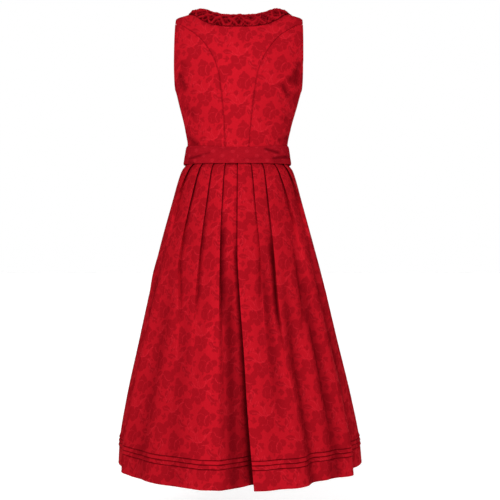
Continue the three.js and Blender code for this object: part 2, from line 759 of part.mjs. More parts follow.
// A hanging end of the bow: from behind the knot, over the band and down the apron.
function bowEnd(mirror) {
  const foot = bandEdge(0, 1, true);
  const fromFoot = [14, 2, -4, -12, -24, -42, -75, -132, -192];
  const levels = [BOW.endTop, ...fromFoot.map(step => foot + step), BOW.endFoot];
  const seatDepth = (x, height) => {
    const width = SKIRT('half_width', height);
    const down = Math.max(0, (foot - SEAM_GAP - height) / (foot - SEAM_GAP - APRON.foot));
    const { base, wave } = apronForm(down);
    const onApron = skirtPoint(1, Math.asin(x / width), height, base + wave + BOW.endClear).y;
    const shareDown = Math.min(1, (height - BAND.frontTop) / (BAND.frontFoot - BAND.frontTop));
    const bandDepth = mix(BAND_TOP_SIZE.front, BAND_FOOT_SIZE.front, shareDown) + BAND_WALL + SEAM_GAP;
    const onBand = bandDepth * Math.sqrt(1 - (x / BAND_FOOT_SIZE.halfWidth) ** 2);
    return height > foot ? onBand : Math.max(onApron, onBand);
  };
  const row = (height, lift) => steps(4).map(u => {
    const down = (BOW.endTop - height) / (BOW.endTop - BOW.endFoot);
    const width = BOW.endWidth * mix(BOW.endPinched, 1, Math.min(1, down * 3));
    const x = mirror * (mix(...BOW.endFromMiddle, down ** 0.8) + (u - 0.5) * width);
    return new THREE.Vector3(x + SWAY('shift', height), seatDepth(x, height) + lift, height);
  });
  const surface = lift => levels.map(height => row(height, lift));
  return clothWall(surface(BOW.wall), surface(0), false);
}

function bowKnot() {
  const seat = bandPoint(Math.PI, 0.5, BAND_WALL);
  const geometry = new THREE.SphereGeometry(1, 16, 10);
  geometry.scale(BOW.knotHalf, BOW.knotDepth, BOW.knotHeight);
  geometry.translate(seat.x, seat.y + 2 * SEAM_GAP + BOW.wall + BOW.knotDepth, BOW.height);
  return geometry;
}

// ---- The garment ----
const jacquard = { color: 0xb81624, roughness: 0.62, metalness: 0 };
const rucheCloth = { color: 0x820c14, roughness: 0.75, metalness: 0 };
const apronCloth = { color: 0xad1624, roughness: 0.68, metalness: 0 };

const dirndl = new THREE.Group();

function addPiece(name, geometry, finish) {
  const piece = new THREE.Mesh(geometry, new THREE.MeshStandardMaterial(finish));
  piece.name = name;
  dirndl.add(piece);
}

addPiece('back_centre', backCentre(), jacquard);
for (const [hand, mirror] of [['left', -1], ['right', 1]]) {
  addPiece(`back_side_${hand}`, sidePanel(-1, mirror, BACK_SEAM, BACK_SEAM_ENDS, 6), jacquard);
  addPiece(`front_${hand}`, frontPanel(mirror), jacquard);
  addPiece(`front_side_${hand}`, sidePanel(1, mirror, FRONT_SEAM, FRONT_SEAM_ENDS, 5), jacquard);
}
addPiece('neck_ruche', neckRuche(), rucheCloth);
addPiece('skirt_back', skirtHalf(-1, BACK_PLEATS), jacquard);
addPiece('skirt_front', skirtHalf(1, FRONT_PLEATS), jacquard);
addPiece('apron_band', apronBand(), apronCloth);
addPiece('apron_panel', apronPanel(), apronCloth);
addPiece('bow_knot', bowKnot(), apronCloth);
for (const [hand, mirror] of [['left', -1], ['right', 1]]) {
  addPiece(`bow_loop_${hand}`, bowLoop(mirror), apronCloth);
  addPiece(`bow_end_${hand}`, bowEnd(mirror), apronCloth);
}

export default dirndl;
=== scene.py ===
import math

import bpy
import numpy as np
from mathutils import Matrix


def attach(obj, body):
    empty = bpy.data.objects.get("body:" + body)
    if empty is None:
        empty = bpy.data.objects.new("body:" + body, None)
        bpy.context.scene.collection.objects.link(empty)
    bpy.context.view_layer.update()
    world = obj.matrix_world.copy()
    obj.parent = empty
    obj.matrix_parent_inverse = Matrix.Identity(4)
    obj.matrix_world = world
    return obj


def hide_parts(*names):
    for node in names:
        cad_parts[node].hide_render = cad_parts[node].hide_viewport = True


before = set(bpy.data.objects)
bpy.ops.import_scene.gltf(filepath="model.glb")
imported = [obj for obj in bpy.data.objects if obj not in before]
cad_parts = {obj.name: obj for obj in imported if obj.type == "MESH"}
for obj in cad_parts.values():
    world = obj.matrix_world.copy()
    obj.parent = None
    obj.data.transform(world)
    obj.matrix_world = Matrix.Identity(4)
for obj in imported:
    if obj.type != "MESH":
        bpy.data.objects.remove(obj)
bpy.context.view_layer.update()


# ---- The room: a pale floor, a white surround and soft studio light --------------------------------
# The floor lies where the wearer would stand, and the camera looks level from behind at hip height.
CAMERA_PLACE = (0.0270, -2.300, -0.600)
FLOOR_HEIGHT = -1.42
bpy.ops.object.select_all(action="DESELECT")
bpy.ops.object.camera_add(location=CAMERA_PLACE, rotation=(math.pi / 2, 0, 0))
camera = bpy.context.object
camera.data.sensor_width = 36
camera.data.lens = 65
bpy.context.scene.camera = camera

bpy.ops.mesh.primitive_plane_add(size=60, location=(0, 0, FLOOR_HEIGHT))
floor = bpy.context.object
floor.name = "floor"
floor_paint = bpy.data.materials.new("pale_floor")
floor_paint.use_nodes = True
floor_inputs = floor_paint.node_tree.nodes["Principled BSDF"].inputs
floor_inputs["Base Color"].default_value = (0.85, 0.85, 0.85, 1)
floor_inputs["Emission Color"].default_value = (1, 1, 1, 1)
floor_inputs["Emission Strength"].default_value = 0.4
floor_inputs["Roughness"].default_value = 0.9
floor_inputs["Specular IOR Level"].default_value = 0.1
floor.data.materials.append(floor_paint)

# The surround looks white, and lights the garment with a part of that white.
world = bpy.data.worlds.new("surround")
world.use_nodes = True
seen = world.node_tree.nodes.new("ShaderNodeLightPath")
glow = world.node_tree.nodes.new("ShaderNodeMapRange")
glow.inputs["To Min"].default_value = 0.15
glow.inputs["To Max"].default_value = 1.0
background = world.node_tree.nodes["Background"]
background.inputs["Color"].default_value = (1, 1, 1, 1)
world.node_tree.links.new(seen.outputs["Is Camera Ray"], glow.inputs["Value"])
world.node_tree.links.new(glow.outputs["Result"], background.inputs["Strength"])
bpy.context.scene.world = world
bpy.context.scene.view_settings.view_transform = "Standard"


def facing(way):
    """The turn of a light that stands in that way and shines back at the middle."""
    return math.atan2(math.hypot(way[0], way[1]), way[2]), 0, math.atan2(way[0], -way[1])


# Each sun: name, the way towards it, strength and softness in degrees.
SUNS = [
    ("fill_light", (0.40, -1.0, 0.80), 1.08, 60),
    ("front_light", (0.15, 1.3, 0.5), 1.9, 40),
    ("top_light", (0.0, 0.7, 1.0), 0.5, 50),
]
for name, towards, strength, softness in SUNS:
    bpy.ops.object.light_add(type="SUN", location=[3 * part for part in towards])
    light = bpy.context.object
    light.name = name
    light.data.energy = strength
    light.data.angle = math.radians(softness)
    light.rotation_euler = facing(towards)

KEY_PLACE, KEY_AIM = (-0.50, -2.1, 0.40), (0, 0, -0.45)
bpy.ops.object.light_add(type="AREA", location=KEY_PLACE)
key_light = bpy.context.object
key_light.name = "key_light"
key_light.data.size = 0.9
key_light.data.energy = 35
key_light.rotation_euler = facing([place - aim for place, aim in zip(KEY_PLACE, KEY_AIM)])


# ---- The rose jacquard ------------------------------------------------------------------------------
# The bodice and the skirt are of one cotton jacquard in a single red: satin ground, and blossoms,
# buds and leaf sprigs woven matt and darker, in a half-drop repeat.
class Wire:
    """A socket of the material being made. Its operators add Math nodes, and node() any other."""
    tree = None

    def __init__(self, socket):
        self.socket = socket

    @classmethod
    def node(cls, kind, inputs=(), output=0, **settings):
        made = cls.tree.nodes.new(kind)
        for key, value in settings.items():
            setattr(made, key, value)
        for key, value in inputs.items() if isinstance(inputs, dict) else enumerate(inputs):
            if isinstance(value, Wire):
                cls.tree.links.new(value.socket, made.inputs[key])
            else:
                made.inputs[key].default_value = value
        return cls(made.outputs[output])

    def __add__(self, other):
        return Wire.node("ShaderNodeMath", [self, other], operation="ADD")

    def __sub__(self, other):
        return Wire.node("ShaderNodeMath", [self, other], operation="SUBTRACT")

    def __rsub__(self, other):
        return Wire.node("ShaderNodeMath", [other, self], operation="SUBTRACT")

    def __mul__(self, other):
        return Wire.node("ShaderNodeMath", [self, other], operation="MULTIPLY")

    def __truediv__(self, other):
        return Wire.node("ShaderNodeMath", [self, other], operation="DIVIDE")

    __radd__ = __add__
    __rmul__ = __mul__


def dot(place, way):
    return Wire.node("ShaderNodeVectorMath", [place, way], output=1, operation="DOT_PRODUCT")


def noise(place, scale, detail, output=0):
    return Wire.node("ShaderNodeTexNoise", {"Vector": place, "Scale": scale, "Detail": detail}, output=output)


def larger(first, second):
    return Wire.node("ShaderNodeMath", [first, second], operation="MAXIMUM")


def size_of(value):
    return Wire.node("ShaderNodeMath", [value], operation="ABSOLUTE")


def inside(field, limit, soft):
    """1 where the field is under the limit and 0 where it is over it, with a soft edge."""
    return Wire.node("ShaderNodeMapRange", [field, limit + soft, limit - soft, 0.0, 1.0])


def repeated(cloth, across, up, drop, centre):
    """Places in millimetres round the nearest copy of a motif's centre, in a repeat that many
    millimetres across and up, where each column is dropped by a share of the repeat."""
    column = dot(cloth, (1000 / across, 0, 0))
    row = dot(cloth, (-drop * 1000 / across, 1000 / up, 0))
    middle_column = centre[0] / across
    middle_row = centre[1] / up - drop * middle_column
    cell = Wire.node("ShaderNodeCombineXYZ", [column - middle_column, row - middle_row, 0.0])
    near = Wire.node("ShaderNodeVectorMath", [cell, (0.5, 0.5, 1), (-0.5, -0.5, -1)], operation="WRAP")
    return Wire.node("ShaderNodeCombineXYZ", [dot(near, (across, 0, 0)), dot(near, (drop * up, up, 0)), 0.0])


def framed(place, x, y, half_length, half_width, turn):
    """How far a place lies along and beside a shape, in its own half lengths and half widths."""
    cos, sin = math.cos(math.radians(turn)), math.sin(math.radians(turn))
    along = dot(place, (cos / half_length, sin / half_length, 0))
    beside = dot(place, (-sin / half_width, cos / half_width, 0))
    return along - (x * cos + y * sin) / half_length, beside - (y * cos - x * sin) / half_width


def petal(place, x, y, half_length, half_width, turn=0):
    if abs(half_length - half_width) <= 0.5:
        far = Wire.node("ShaderNodeVectorMath", [place, (x, y, 0)], output=1, operation="DISTANCE")
        return inside(far, (half_length + half_width) / 2, 0.45)
    along, beside = framed(place, x, y, half_length, half_width, turn)
    return inside(along * along + beside * beside, 1, 0.9 / half_width)


def leaf(place, x, y, length, width, turn):
    along, beside = framed(place, x, y, length / 2, width / 2, turn)
    beside = size_of(beside)
    blade = inside(beside + along * along, 1, 0.9 / width)
    return blade * (1 - inside(beside, 0.06, 0.06))


def line(place, x, y, length, bend, thick, turn):
    """A thin curved line: a stem, a vein or the edge of a petal."""
    along, beside = framed(place, x, y, length / 2, 1, turn)
    off = size_of(beside - bend * (along * along) + bend / 2)
    return inside(off, thick / 2, 0.35) * inside(size_of(along), 1, 0.05)


def sprig(place, x, y, size, turn):
    """A leaf of three points, with its stalk at the place."""
    mask = petal(place, x, y, 0.24 * size, 0.2 * size, turn)
    for spread, reach in ((-52, 0.8), (0, 1), (52, 0.8)):
        way = math.radians(turn + spread)
        half = size * reach / 2
        middle = (x + half * math.cos(way), y + half * math.sin(way))
        mask = larger(mask, leaf(place, *middle, 2 * half, 0.42 * size, turn + spread))
    return mask


def strewn(shape, place, spots):
    """One kind of shape at all its spots: across, up, its two sizes or more, and its turn in degrees."""
    mask = shape(place, *spots[0])
    for spot in spots[1:]:
        mask = larger(mask, shape(place, *spot))
    return mask


def start_material(name, rough, specular):
    material = bpy.data.materials.new(name)
    material.use_nodes = True
    Wire.tree = material.node_tree
    shader = material.node_tree.nodes["Principled BSDF"]
    shader.inputs["Roughness"].default_value = rough
    shader.inputs["Specular IOR Level"].default_value = specular
    return material, shader


def feed(shader, name, wire):
    Wire.tree.links.new(wire.socket, shader.inputs[name])


def cloth_places():
    return Wire.node("ShaderNodeUVMap", output=0, uv_map="Cloth")


def blend_colours(share, first, second):
    return Wire.node("ShaderNodeMix", {0: share, 6: first, 7: second}, output=2, data_type="RGBA")


def woven(shader, colour, shade_colour, cloth, thread, depth):
    """Darkens the colour with painted shade where the mesh's shade attribute says, in creases and under
    folds, and gives the surface its thread and its slight slubs.
    """
    crease_shade = Wire.node("ShaderNodeAttribute", output="Fac", attribute_name="Painted_Shade")
    feed(shader, "Base Color", blend_colours(crease_shade, colour, shade_colour))
    threads = noise(cloth, 1000 / thread, 2.0)
    bump = Wire.node("ShaderNodeBump", {"Strength": 0.35, "Distance": depth / 1000, "Height": threads})
    feed(shader, "Normal", bump)


REPEAT = {"across": 83, "up": 121, "drop": 0.5}
SATIN_RED = (0.400, 0.0058, 0.0128, 1)
MATT_RED = (0.290, 0.0042, 0.0094, 1)
PALE_RED = (0.560, 0.0170, 0.0300, 1)
# The dark red that painted shade blends towards, in creases, seam grooves, pleat gaps and troughs.
CREASE_SHADE_RED = (0.030, 0.0002, 0.0010, 1)


def make_jacquard():
    material, shader = start_material("rose_jacquard", 0.6, 0.0)
    flat = cloth_places()
    stray = noise(flat, 230.0, 3.0, output=1)
    nudge = Wire.node("ShaderNodeVectorMath", [stray, (0.5, 0.5, 0.5)], operation="SUBTRACT")
    nudge = Wire.node("ShaderNodeVectorMath", [nudge, (0.0058, 0.0058, 0)], operation="MULTIPLY")
    cloth = Wire.node("ShaderNodeVectorMath", [flat, nudge], operation="ADD")

    rose = repeated(cloth, **REPEAT, centre=(0, 0))
    matt = strewn(petal, rose, [
        (-9.5, 8, 9.5, 9), (10.5, 7.5, 10, 9.5, 20), (10.5, -3, 9, 9), (1.5, -11, 8.5, 8.5),
        (-8.5, -3, 9, 9), (0.5, -1, 11, 9.5), (-17.5, -11, 8, 7.7),
    ])
    matt = larger(matt, strewn(leaf, rose, [
        (-27, 26, 25, 12, -8), (29, -3, 20, 9, -55), (38, -8, 13, 5, -28), (45, -15, 12, 8, -75),
        (22, 43, 25, 11, 30), (33, 33, 9, 4, 70), (36, 2, 10, 4, 10),
    ]))
    matt = larger(matt, strewn(sprig, rose, [
        (-25, 7, 13, 172), (20, 15, 14, 78), (-4, 41, 12, 84),
    ]))
    stems = strewn(line, rose, [
        (-4, 21, 26, 6, 1.2, -22), (3, 31, 30, -5, 1.1, 100), (15, 27, 26, 5, 1.2, 60),
        (24, 8, 26, -6, 1.2, -30), (-8, 33, 24, 6, 1.1, 126), (-19, 21, 24, 4, 1.1, 158),
        (28, 37, 22, -4, 1.1, 38), (34, -8, 22, 4, 1.1, -36),
    ])
    veins = strewn(line, rose, [
        (2, 3, 15, 3, 1.0, 70), (6, -6, 12, -3, 0.9, -50), (-5, -4, 11, 2, 0.9, 170), (10, 6, 9, 2, 0.8, 10),
    ])

    tulip = repeated(cloth, **REPEAT, centre=(13, -47))
    matt = larger(matt, strewn(petal, tulip, [
        (1.9, 11, 11, 8.5), (-5, 8, 7, 6.5), (9, 8.5, 7, 6), (1.4, 18, 4.2, 6), (-3, -6, 12.5, 13.5),
        (12.5, -7, 5.5, 11.5, -18), (9, -16.5, 6, 5), (23.6, 1.5, 8, 8), (17, -4, 5, 4),
    ]))
    matt = larger(matt, strewn(leaf, tulip, [(19, -10, 12, 5, -75), (-2, -23, 9, 4, 60)]))
    veins = larger(veins, strewn(line, tulip, [
        (8, -5, 24, -5, 1.5, 76), (-4, 6.5, 17, -3, 0.9, 6), (-8, -8, 14, 3, 0.7, 80),
        (18, -1, 11, 3, 0.9, 95),
    ]))

    bud = repeated(cloth, **REPEAT, centre=(-33, -29))
    matt = larger(matt, strewn(petal, bud, [
        (1.5, 9, 17.5, 10.5, -25), (-8, 5, 9.5, 9), (10, 3, 9.5, 8, -30), (-4, -8, 11.5, 12), (-2, -17, 7, 6),
    ]))
    matt = larger(matt, strewn(leaf, bud, [
        (3, -33, 20, 9.5, 84), (8, -52, 12, 6.5, 66), (14, -53, 12, 6, 108), (32, -47, 15, 8, -62),
        (22, -50, 10, 5, 60), (-14, -20, 9, 4, -60), (24, -58, 10, 4, 95),
    ]))
    matt = larger(matt, strewn(sprig, bud, [
        (12, -16, 14, -52), (-13, -41, 15, -58), (29, -57, 12, 110),
    ]))
    stems = larger(stems, strewn(line, bud, [
        (9, -23, 20, -5, 1.2, -58), (22, -50, 20, 4, 1.2, -62), (3, -42, 14, 3, 1.1, -80),
        (12, -50, 20, -3, 1.1, 74), (4, -31, 20, 4, 1.1, 84),
    ]))
    veins = larger(veins, strewn(line, bud, [
        (-1.5, 2.5, 22, 5, 1.8, -32), (2, -10, 13, 3, 0.9, 70),
    ]))

    matt = matt * (1 - 0.75 * veins)
    pale = larger(0.55 * stems, 0.3 * veins)
    slub = noise(flat, 34.0, 3.0)
    lace = noise(flat, 330.0, 2.0)
    matt = matt * (0.45 + 0.25 * slub + 0.9 * lace)
    colour = blend_colours(pale, blend_colours(matt, SATIN_RED, MATT_RED), PALE_RED)
    woven(shader, colour, CREASE_SHADE_RED, flat, 0.9, 0.10)
    feed(shader, "Roughness", 0.5 + 0.2 * matt)
    feed(shader, "Metallic", 0.05 - 0.04 * matt)
    return material


jacquard = make_jacquard()


# ---- Back bodice, centre panel -----------------------------------------------------------------------
# One piece from shoulder to shoulder, cut with a curved princess seam at each side, and sewn to the
# side panels from the armhole down to the waist.
def smooth_curve(keys, values):
    """A curve through the values that never overshoots them."""
    order = np.argsort(keys)
    keys, values = np.array(keys, float)[order], np.array(values, float)[order]
    slopes = np.diff(values) / np.diff(keys)
    before, after = slopes[:-1], slopes[1:]
    total = np.where(before + after == 0, 1, before + after)
    middle = np.where(before * after <= 0, 0, 2 * before * after / total)
    bends = np.concatenate([slopes[:1], middle, slopes[-1:]])

    def at(key):
        held = np.clip(key, keys[0], keys[-1])
        i = np.clip(np.searchsorted(keys, held, side="right") - 1, 0, len(keys) - 2)
        gap = keys[i + 1] - keys[i]
        t = (held - keys[i]) / gap
        return ((2 * t**3 - 3 * t**2 + 1) * values[i] + (t**3 - 2 * t**2 + t) * gap * bends[i]
                + (3 * t**2 - 2 * t**3) * values[i + 1] + (t**3 - t**2) * gap * bends[i + 1])

    return at


def table(*rows):
    """Curves for the columns of a table whose first column is the height."""
    columns = list(zip(*rows))
    return [smooth_curve(columns[0], values) for values in columns[1:]]


def mix(start, end, share):
    return start + (end - start) * share


def long(vectors):
    return np.linalg.norm(vectors, axis=-1)


def added_up(steps):
    return np.concatenate([[0], np.cumsum(steps)])


def grid(columns, rows):
    return np.broadcast_arrays(columns[None, :], rows[:, None])


def pairs(first, second):
    return np.stack(np.broadcast_arrays(first, second), axis=-1)


def ease(share):
    held = np.clip(share, 0, 1)
    return held * held * (3 - 2 * held)


WAIST = -363
BODICE_WALL = 1.1
NECK_SHOULDER = (92, 7)
TIP_SHOULDER = (160, -14)
BACK_NECK_HEIGHT, BACK_NECK_CURVE = -21.5, 3
ARMHOLE_MIDDLE, ARMHOLE_HALF_HEIGHT, ARMHOLE_TURN_IN = -102, 88, 25
ARMHOLE_REACH = {-1: 52, 1: 48}
ARMPIT = ARMHOLE_MIDDLE - ARMHOLE_HALF_HEIGHT

# Height, half width, depth behind and depth before.
bodice_half_width, back_depth, front_depth = table(
    (7, 160, 46, 44), (-14, 160, 69, 62), (-50, 160.5, 89, 80), (-102, 161, 106, 104),
    (-150, 161.5, 111.5, 119), (-190, 161.5, 110, 123), (-202, 158, 108.5, 121.5),
    (-233, 150, 104.5, 114), (-294, 134, 96.5, 102), (-337, 126.8, 91.4, 93.9), (-363, 126, 90.5, 93),
)
bodice_depth = {-1: back_depth, 1: front_depth}
[sway] = table((7, 0), (-225, -2.5), (-363, -5), (-560, -6), (-720, -4), (-850, -2.5), (-1000, -0.5),
               (-1137, 2))
[back_seam] = table((-34, 160), (-38, 148), (-52, 128), (-71, 103.5), (-97, 81), (-124, 64), (-148, 53.5),
                    (-174, 46), (-225, 38.7), (-287, 32.6), (-363, 27.5))
[front_seam] = table((-82, 160.8), (-87, 154), (-110, 130), (-145, 106), (-190, 90), (-240, 80), (-363, 57))


def bodice_section(side, height):
    reach = np.sqrt(np.maximum(0, 1 - ((height - ARMHOLE_MIDDLE) / ARMHOLE_HALF_HEIGHT) ** 2))
    slope = (height - TIP_SHOULDER[1]) / (NECK_SHOULDER[1] - TIP_SHOULDER[1])
    half_width = np.where(height > TIP_SHOULDER[1], mix(TIP_SHOULDER[0], NECK_SHOULDER[0], slope),
                          bodice_half_width(height))
    end_angle = np.radians(90 - ARMHOLE_TURN_IN * reach)
    return half_width, bodice_depth[side](height), reach * ARMHOLE_REACH[side], end_angle


def bodice_point(side, angle, height):
    half_width, depth, edge_depth, end_angle = bodice_section(side, height)
    share = (np.cos(angle) - np.cos(end_angle)) / (1 - np.cos(end_angle))
    x = half_width * np.sin(angle) / np.sin(end_angle) + sway(height)
    return np.stack([x, side * mix(edge_depth, depth, share), height + 0 * x], axis=-1)


def bodice_angle(side, from_middle, height):
    half_width, _, _, end_angle = bodice_section(side, height)
    return np.arcsin(np.clip(from_middle * np.sin(end_angle) / half_width, -1, 1))


def bodice_slopes(side, angle, height, nudge=0.001):
    along = bodice_point(side, angle + nudge, height) - bodice_point(side, angle - nudge, height)
    up = bodice_point(side, angle, height + nudge) - bodice_point(side, angle, height - nudge)
    return along / (2 * nudge), up / (2 * nudge)


def bodice_normal(side, angle, height):
    along, up = bodice_slopes(side, angle, height)
    normal = -side * np.cross(along, up)
    return normal / np.linalg.norm(normal, axis=-1, keepdims=True)


def girth(side, angle, height):
    """How far a point lies from the middle line, measured round the bodice."""
    parts = np.linspace(0, 1, 25)[:, None, None]
    path = bodice_point(side, angle[None] * parts, np.broadcast_to(height, (25,) + height.shape))
    return np.sign(angle) * long(np.diff(path, axis=0)).sum(axis=0)


def spanned(foot, top, left, right, columns, rows):
    """A grid between four edges, each a function of 0..1 that gives a place across and a height."""
    below, above = [np.array([edge(share) for share in columns], float).T for edge in (foot, top)]
    start, end = [np.array([edge(share) for share in rows], float).T[:, :, None] for edge in (left, right)]
    u, v = columns[None, :], rows[:, None]
    grid = []
    for k in (0, 1):
        corners = ((1 - u) * (1 - v) * below[k][0] + u * (1 - v) * below[k][-1]
                   + (1 - u) * v * above[k][0] + u * v * above[k][-1])
        grid.append((1 - v) * below[k] + v * above[k] + (1 - u) * start[k] + u * end[k] - corners)
    return grid


def worn(piece, node, slot, **flat_cut):
    """Joins a finished piece to the garment: hangs it from the root and hides the node's solid. The slot and
    the flat cut are not used.
    """
    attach(piece, "root")
    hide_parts(node)


def cloth_piece(node, slot, points, cut, crease_shade, wall, material, **flat_cut):
    """A sheet of cloth over a grid of points, in place of a node's solid. cut holds the points' places
    on the flat cloth, and the shade grid how much shade is painted on each point, in creases and under folds."""
    rows, columns = points.shape[:2]
    index = np.arange(rows * columns).reshape(rows, columns)
    faces = np.stack([index[:-1, :-1], index[1:, :-1], index[1:, 1:], index[:-1, 1:]], axis=-1).reshape(-1, 4)
    flat = points.reshape(-1, 3)
    normals = np.cross(flat[faces[:, 2]] - flat[faces[:, 0]], flat[faces[:, 3]] - flat[faces[:, 1]])
    middles = flat[faces].mean(axis=1)
    middles[:, 2] = 0
    if (normals * middles).sum() < 0:
        faces = faces[:, ::-1]
    mesh = bpy.data.meshes.new(node + "_cloth")
    mesh.from_pydata((flat / 1000).tolist(), [], faces.tolist())
    layer = mesh.uv_layers.new(name="Cloth")
    layer.data.foreach_set("uv", (cut.reshape(-1, 2) / 1000)[faces.ravel()].ravel())
    # The shade painted on each point: how far its colour goes towards the dark shade red.
    shade = mesh.attributes.new("Painted_Shade", "FLOAT", "POINT")
    shade.data.foreach_set("value", np.clip(crease_shade, 0, 1).astype(np.float32).ravel())
    mesh.materials.append(material)
    piece = bpy.data.objects.new(node + "_cloth", mesh)
    bpy.context.scene.collection.objects.link(piece)
    bpy.ops.object.select_all(action="DESELECT")
    piece.select_set(True)
    bpy.context.view_layer.objects.active = piece
    bpy.ops.object.mode_set(mode="EDIT")
    bpy.ops.mesh.select_all(action="SELECT")
    bpy.ops.mesh.remove_doubles(threshold=0.00002)
    bpy.ops.object.mode_set(mode="OBJECT")
    thick = piece.modifiers.new("wall", "SOLIDIFY")
    thick.thickness = wall / 1000
    thick.offset = -1
    bpy.ops.object.modifier_apply(modifier=thick.name)
    bpy.ops.object.shade_smooth_by_angle(angle=math.radians(55))
    worn(piece, node, slot, **flat_cut)


def near(distance, width):
    """1 on a line and 0 beyond the width, falling smoothly."""
    return ease(1 - np.abs(distance) / width)


def fold(points_x, points_z, start, end, width, height, taper=0.25):
    """A soft ridge along a line between two places (x, z); a trough has a height below 0."""
    (x0, z0), (x1, z1) = start, end
    length = math.hypot(x1 - x0, z1 - z0)
    along = ((points_x - x0) * (x1 - x0) + (points_z - z0) * (z1 - z0)) / length**2
    beside = ((points_x - x0) * (z1 - z0) - (points_z - z0) * (x1 - x0)) / length
    ends = ease(along / taper + 0.5) * ease((1 - along) / taper + 0.5)
    return height * ends * np.exp(-((beside / width) ** 2))


# Each wrinkle of the back bodice: from, to, half width and height. They start at the side seams
# above the waist and under the arms.
BACK_WRINKLES = [
    ((104, -190), (126, -222), 6.5, -3.0), ((122, -178), (140, -198), 6, 2.0),
    ((150, -150), (122, -186), 7, -2.4), ((153, -132), (140, -190), 7, -3.0),
    ((136, -160), (112, -182), 6, 1.4), ((142, -208), (126, -238), 8, -1.4),
    ((-150, -158), (-136, -206), 8, -2.6), ((-150, -132), (-130, -152), 7, -1.2),
    ((-140, -176), (-118, -190), 6, 1.2), ((-128, -318), (-104, -338), 8, -2.2),
    ((-132, -296), (-102, -318), 7, 1.1), ((-134, -244), (-112, -268), 9, -1.3),
    ((128, -312), (98, -330), 8, -1.8), ((126, -290), (100, -306), 7, 0.9),
    ((130, -256), (112, -280), 8, -1.2), ((-60, -50), (-96, -30), 8, -0.9),
    ((62, -46), (98, -30), 8, -0.9),
]


# How a seam and a turned edge stand out or sink: height, distance from the edge and half width. Then
# how dark the shade painted in its groove is, with its distance and half width.
EDGE_KINDS = {
    "seam": [(0.5, 5, 5), (-0.9, 0, 2.6), (0.45, 0, 1.4)],
    "turned": [(0.5, 1.5, 3), (-0.35, 5.5, 1.4), (0.35, 5.5, 1.3)],
}


def bodice_panel(name, side, mirror, angle, height, edges, shift, wrinkles, lean=0, **flat_cut):
    """Makes a panel from its grid of angles and heights. edges holds the distance of each point from
    each seam or turned edge. The places on the flat cloth are turned by lean and moved by shift, as
    each panel is cut apart from the others."""
    angle = mirror * angle
    points = bodice_point(side, angle, height)
    lift, crease_shade = np.zeros(angle.shape), np.zeros(angle.shape)
    # The third part of each kind is shade painted in the seam's groove or along the stitched edge.
    for kind, distance in edges:
        roll, groove, dark = [size * near(distance - away, half) for size, away, half in EDGE_KINDS[kind]]
        lift += roll + groove
        crease_shade = np.maximum(crease_shade, dark)
    for start, end, width, rise in wrinkles:
        one = fold(points[..., 0], height, start, end, width, rise)
        lift += one
        # Shade is painted in each wrinkle's trough.
        crease_shade = np.maximum(crease_shade, np.clip(-one / 5, 0, 0.5))
    points = points + bodice_normal(side, angle, height) * lift[..., None]
    across, up = girth(side, angle, height), height * 1.03
    cos, sin = math.cos(math.radians(lean)), math.sin(math.radians(lean))
    cut = pairs(across * cos - up * sin + shift[0], across * sin + up * cos + shift[1])
    cloth_piece(name, "jacquard", points, cut, crease_shade, BODICE_WALL, jacquard, **flat_cut)


def row_shares(foot, top, spacing):
    """Rows of a panel from its foot to its top, as shares of its height."""
    heights = np.linspace(foot, top, max(2, int(round((top - foot) / spacing)) + 1))
    return (heights - foot) / (top - foot)


def back_top(x):
    inner = mix(BACK_NECK_HEIGHT, NECK_SHOULDER[1], (abs(x) / NECK_SHOULDER[0]) ** BACK_NECK_CURVE)
    slope = (abs(x) - NECK_SHOULDER[0]) / (TIP_SHOULDER[0] - NECK_SHOULDER[0])
    return inner if abs(x) < NECK_SHOULDER[0] else mix(NECK_SHOULDER[1], TIP_SHOULDER[1], slope)


def back_edge(sign):
    def edge(v):
        height = mix(WAIST, TIP_SHOULDER[1], v)
        return sign * float(back_seam(height)), height

    return edge


BACK_SEAM_TOP = -36
FAR = 99
waist_half, shoulder_end = float(back_seam(WAIST)), TIP_SHOULDER[0]
across, height = spanned(
    lambda u: (mix(-waist_half, waist_half, u), WAIST),
    lambda u: (mix(-shoulder_end, shoulder_end, u), back_top(mix(-shoulder_end, shoulder_end, u))),
    back_edge(-1), back_edge(1),
    np.linspace(0, 1, 91), row_shares(WAIST, TIP_SHOULDER[1], 3),
)
seam_away = (back_seam(height) - np.abs(across)) * 0.9
above_seam = height > BACK_SEAM_TOP
armhole_away = np.where(above_seam, shoulder_end - np.abs(across), FAR)
edges = [("seam", np.where(above_seam, FAR, seam_away)), ("turned", armhole_away)]
bodice_panel("back_centre", -1, 1, bodice_angle(-1, across, height), height, edges, (0, 27), BACK_WRINKLES,
             flat=(0.40, 0.38), held="stretched", area=0.054,
             rests_on=["back_side_left", "back_side_right"])


# ---- Back bodice, side panels ------------------------------------------------------------------------
# One on each side, from the princess seam to the side seam. The seam allowance is pressed outwards,
# and the armhole edge is turned in and stitched.
def side_grid(side, seam, seam_corner, armhole_corner):
    """Angles and heights from the waist up to the tip, where the seam meets the armhole."""
    def share(height):
        return float(bodice_angle(side, seam(height), height) / bodice_section(side, height)[3])

    def beside_armhole(v):
        height = mix(WAIST, seam_corner, v)
        above = (height - ARMPIT) / (seam_corner - ARMPIT)
        return mix(ARMPIT, armhole_corner, above) if above > 0 else height

    def tip(u):
        height = mix(seam_corner, armhole_corner, u)
        return share(height), height

    part, height = spanned(
        lambda u: (mix(share(WAIST), 1, u), WAIST), tip,
        lambda v: (share(mix(WAIST, seam_corner, v)), mix(WAIST, seam_corner, v)),
        lambda v: (1, beside_armhole(v)),
        np.linspace(0, 1, 41), row_shares(WAIST, seam_corner, 3),
    )
    return part * bodice_section(side, height)[3], height


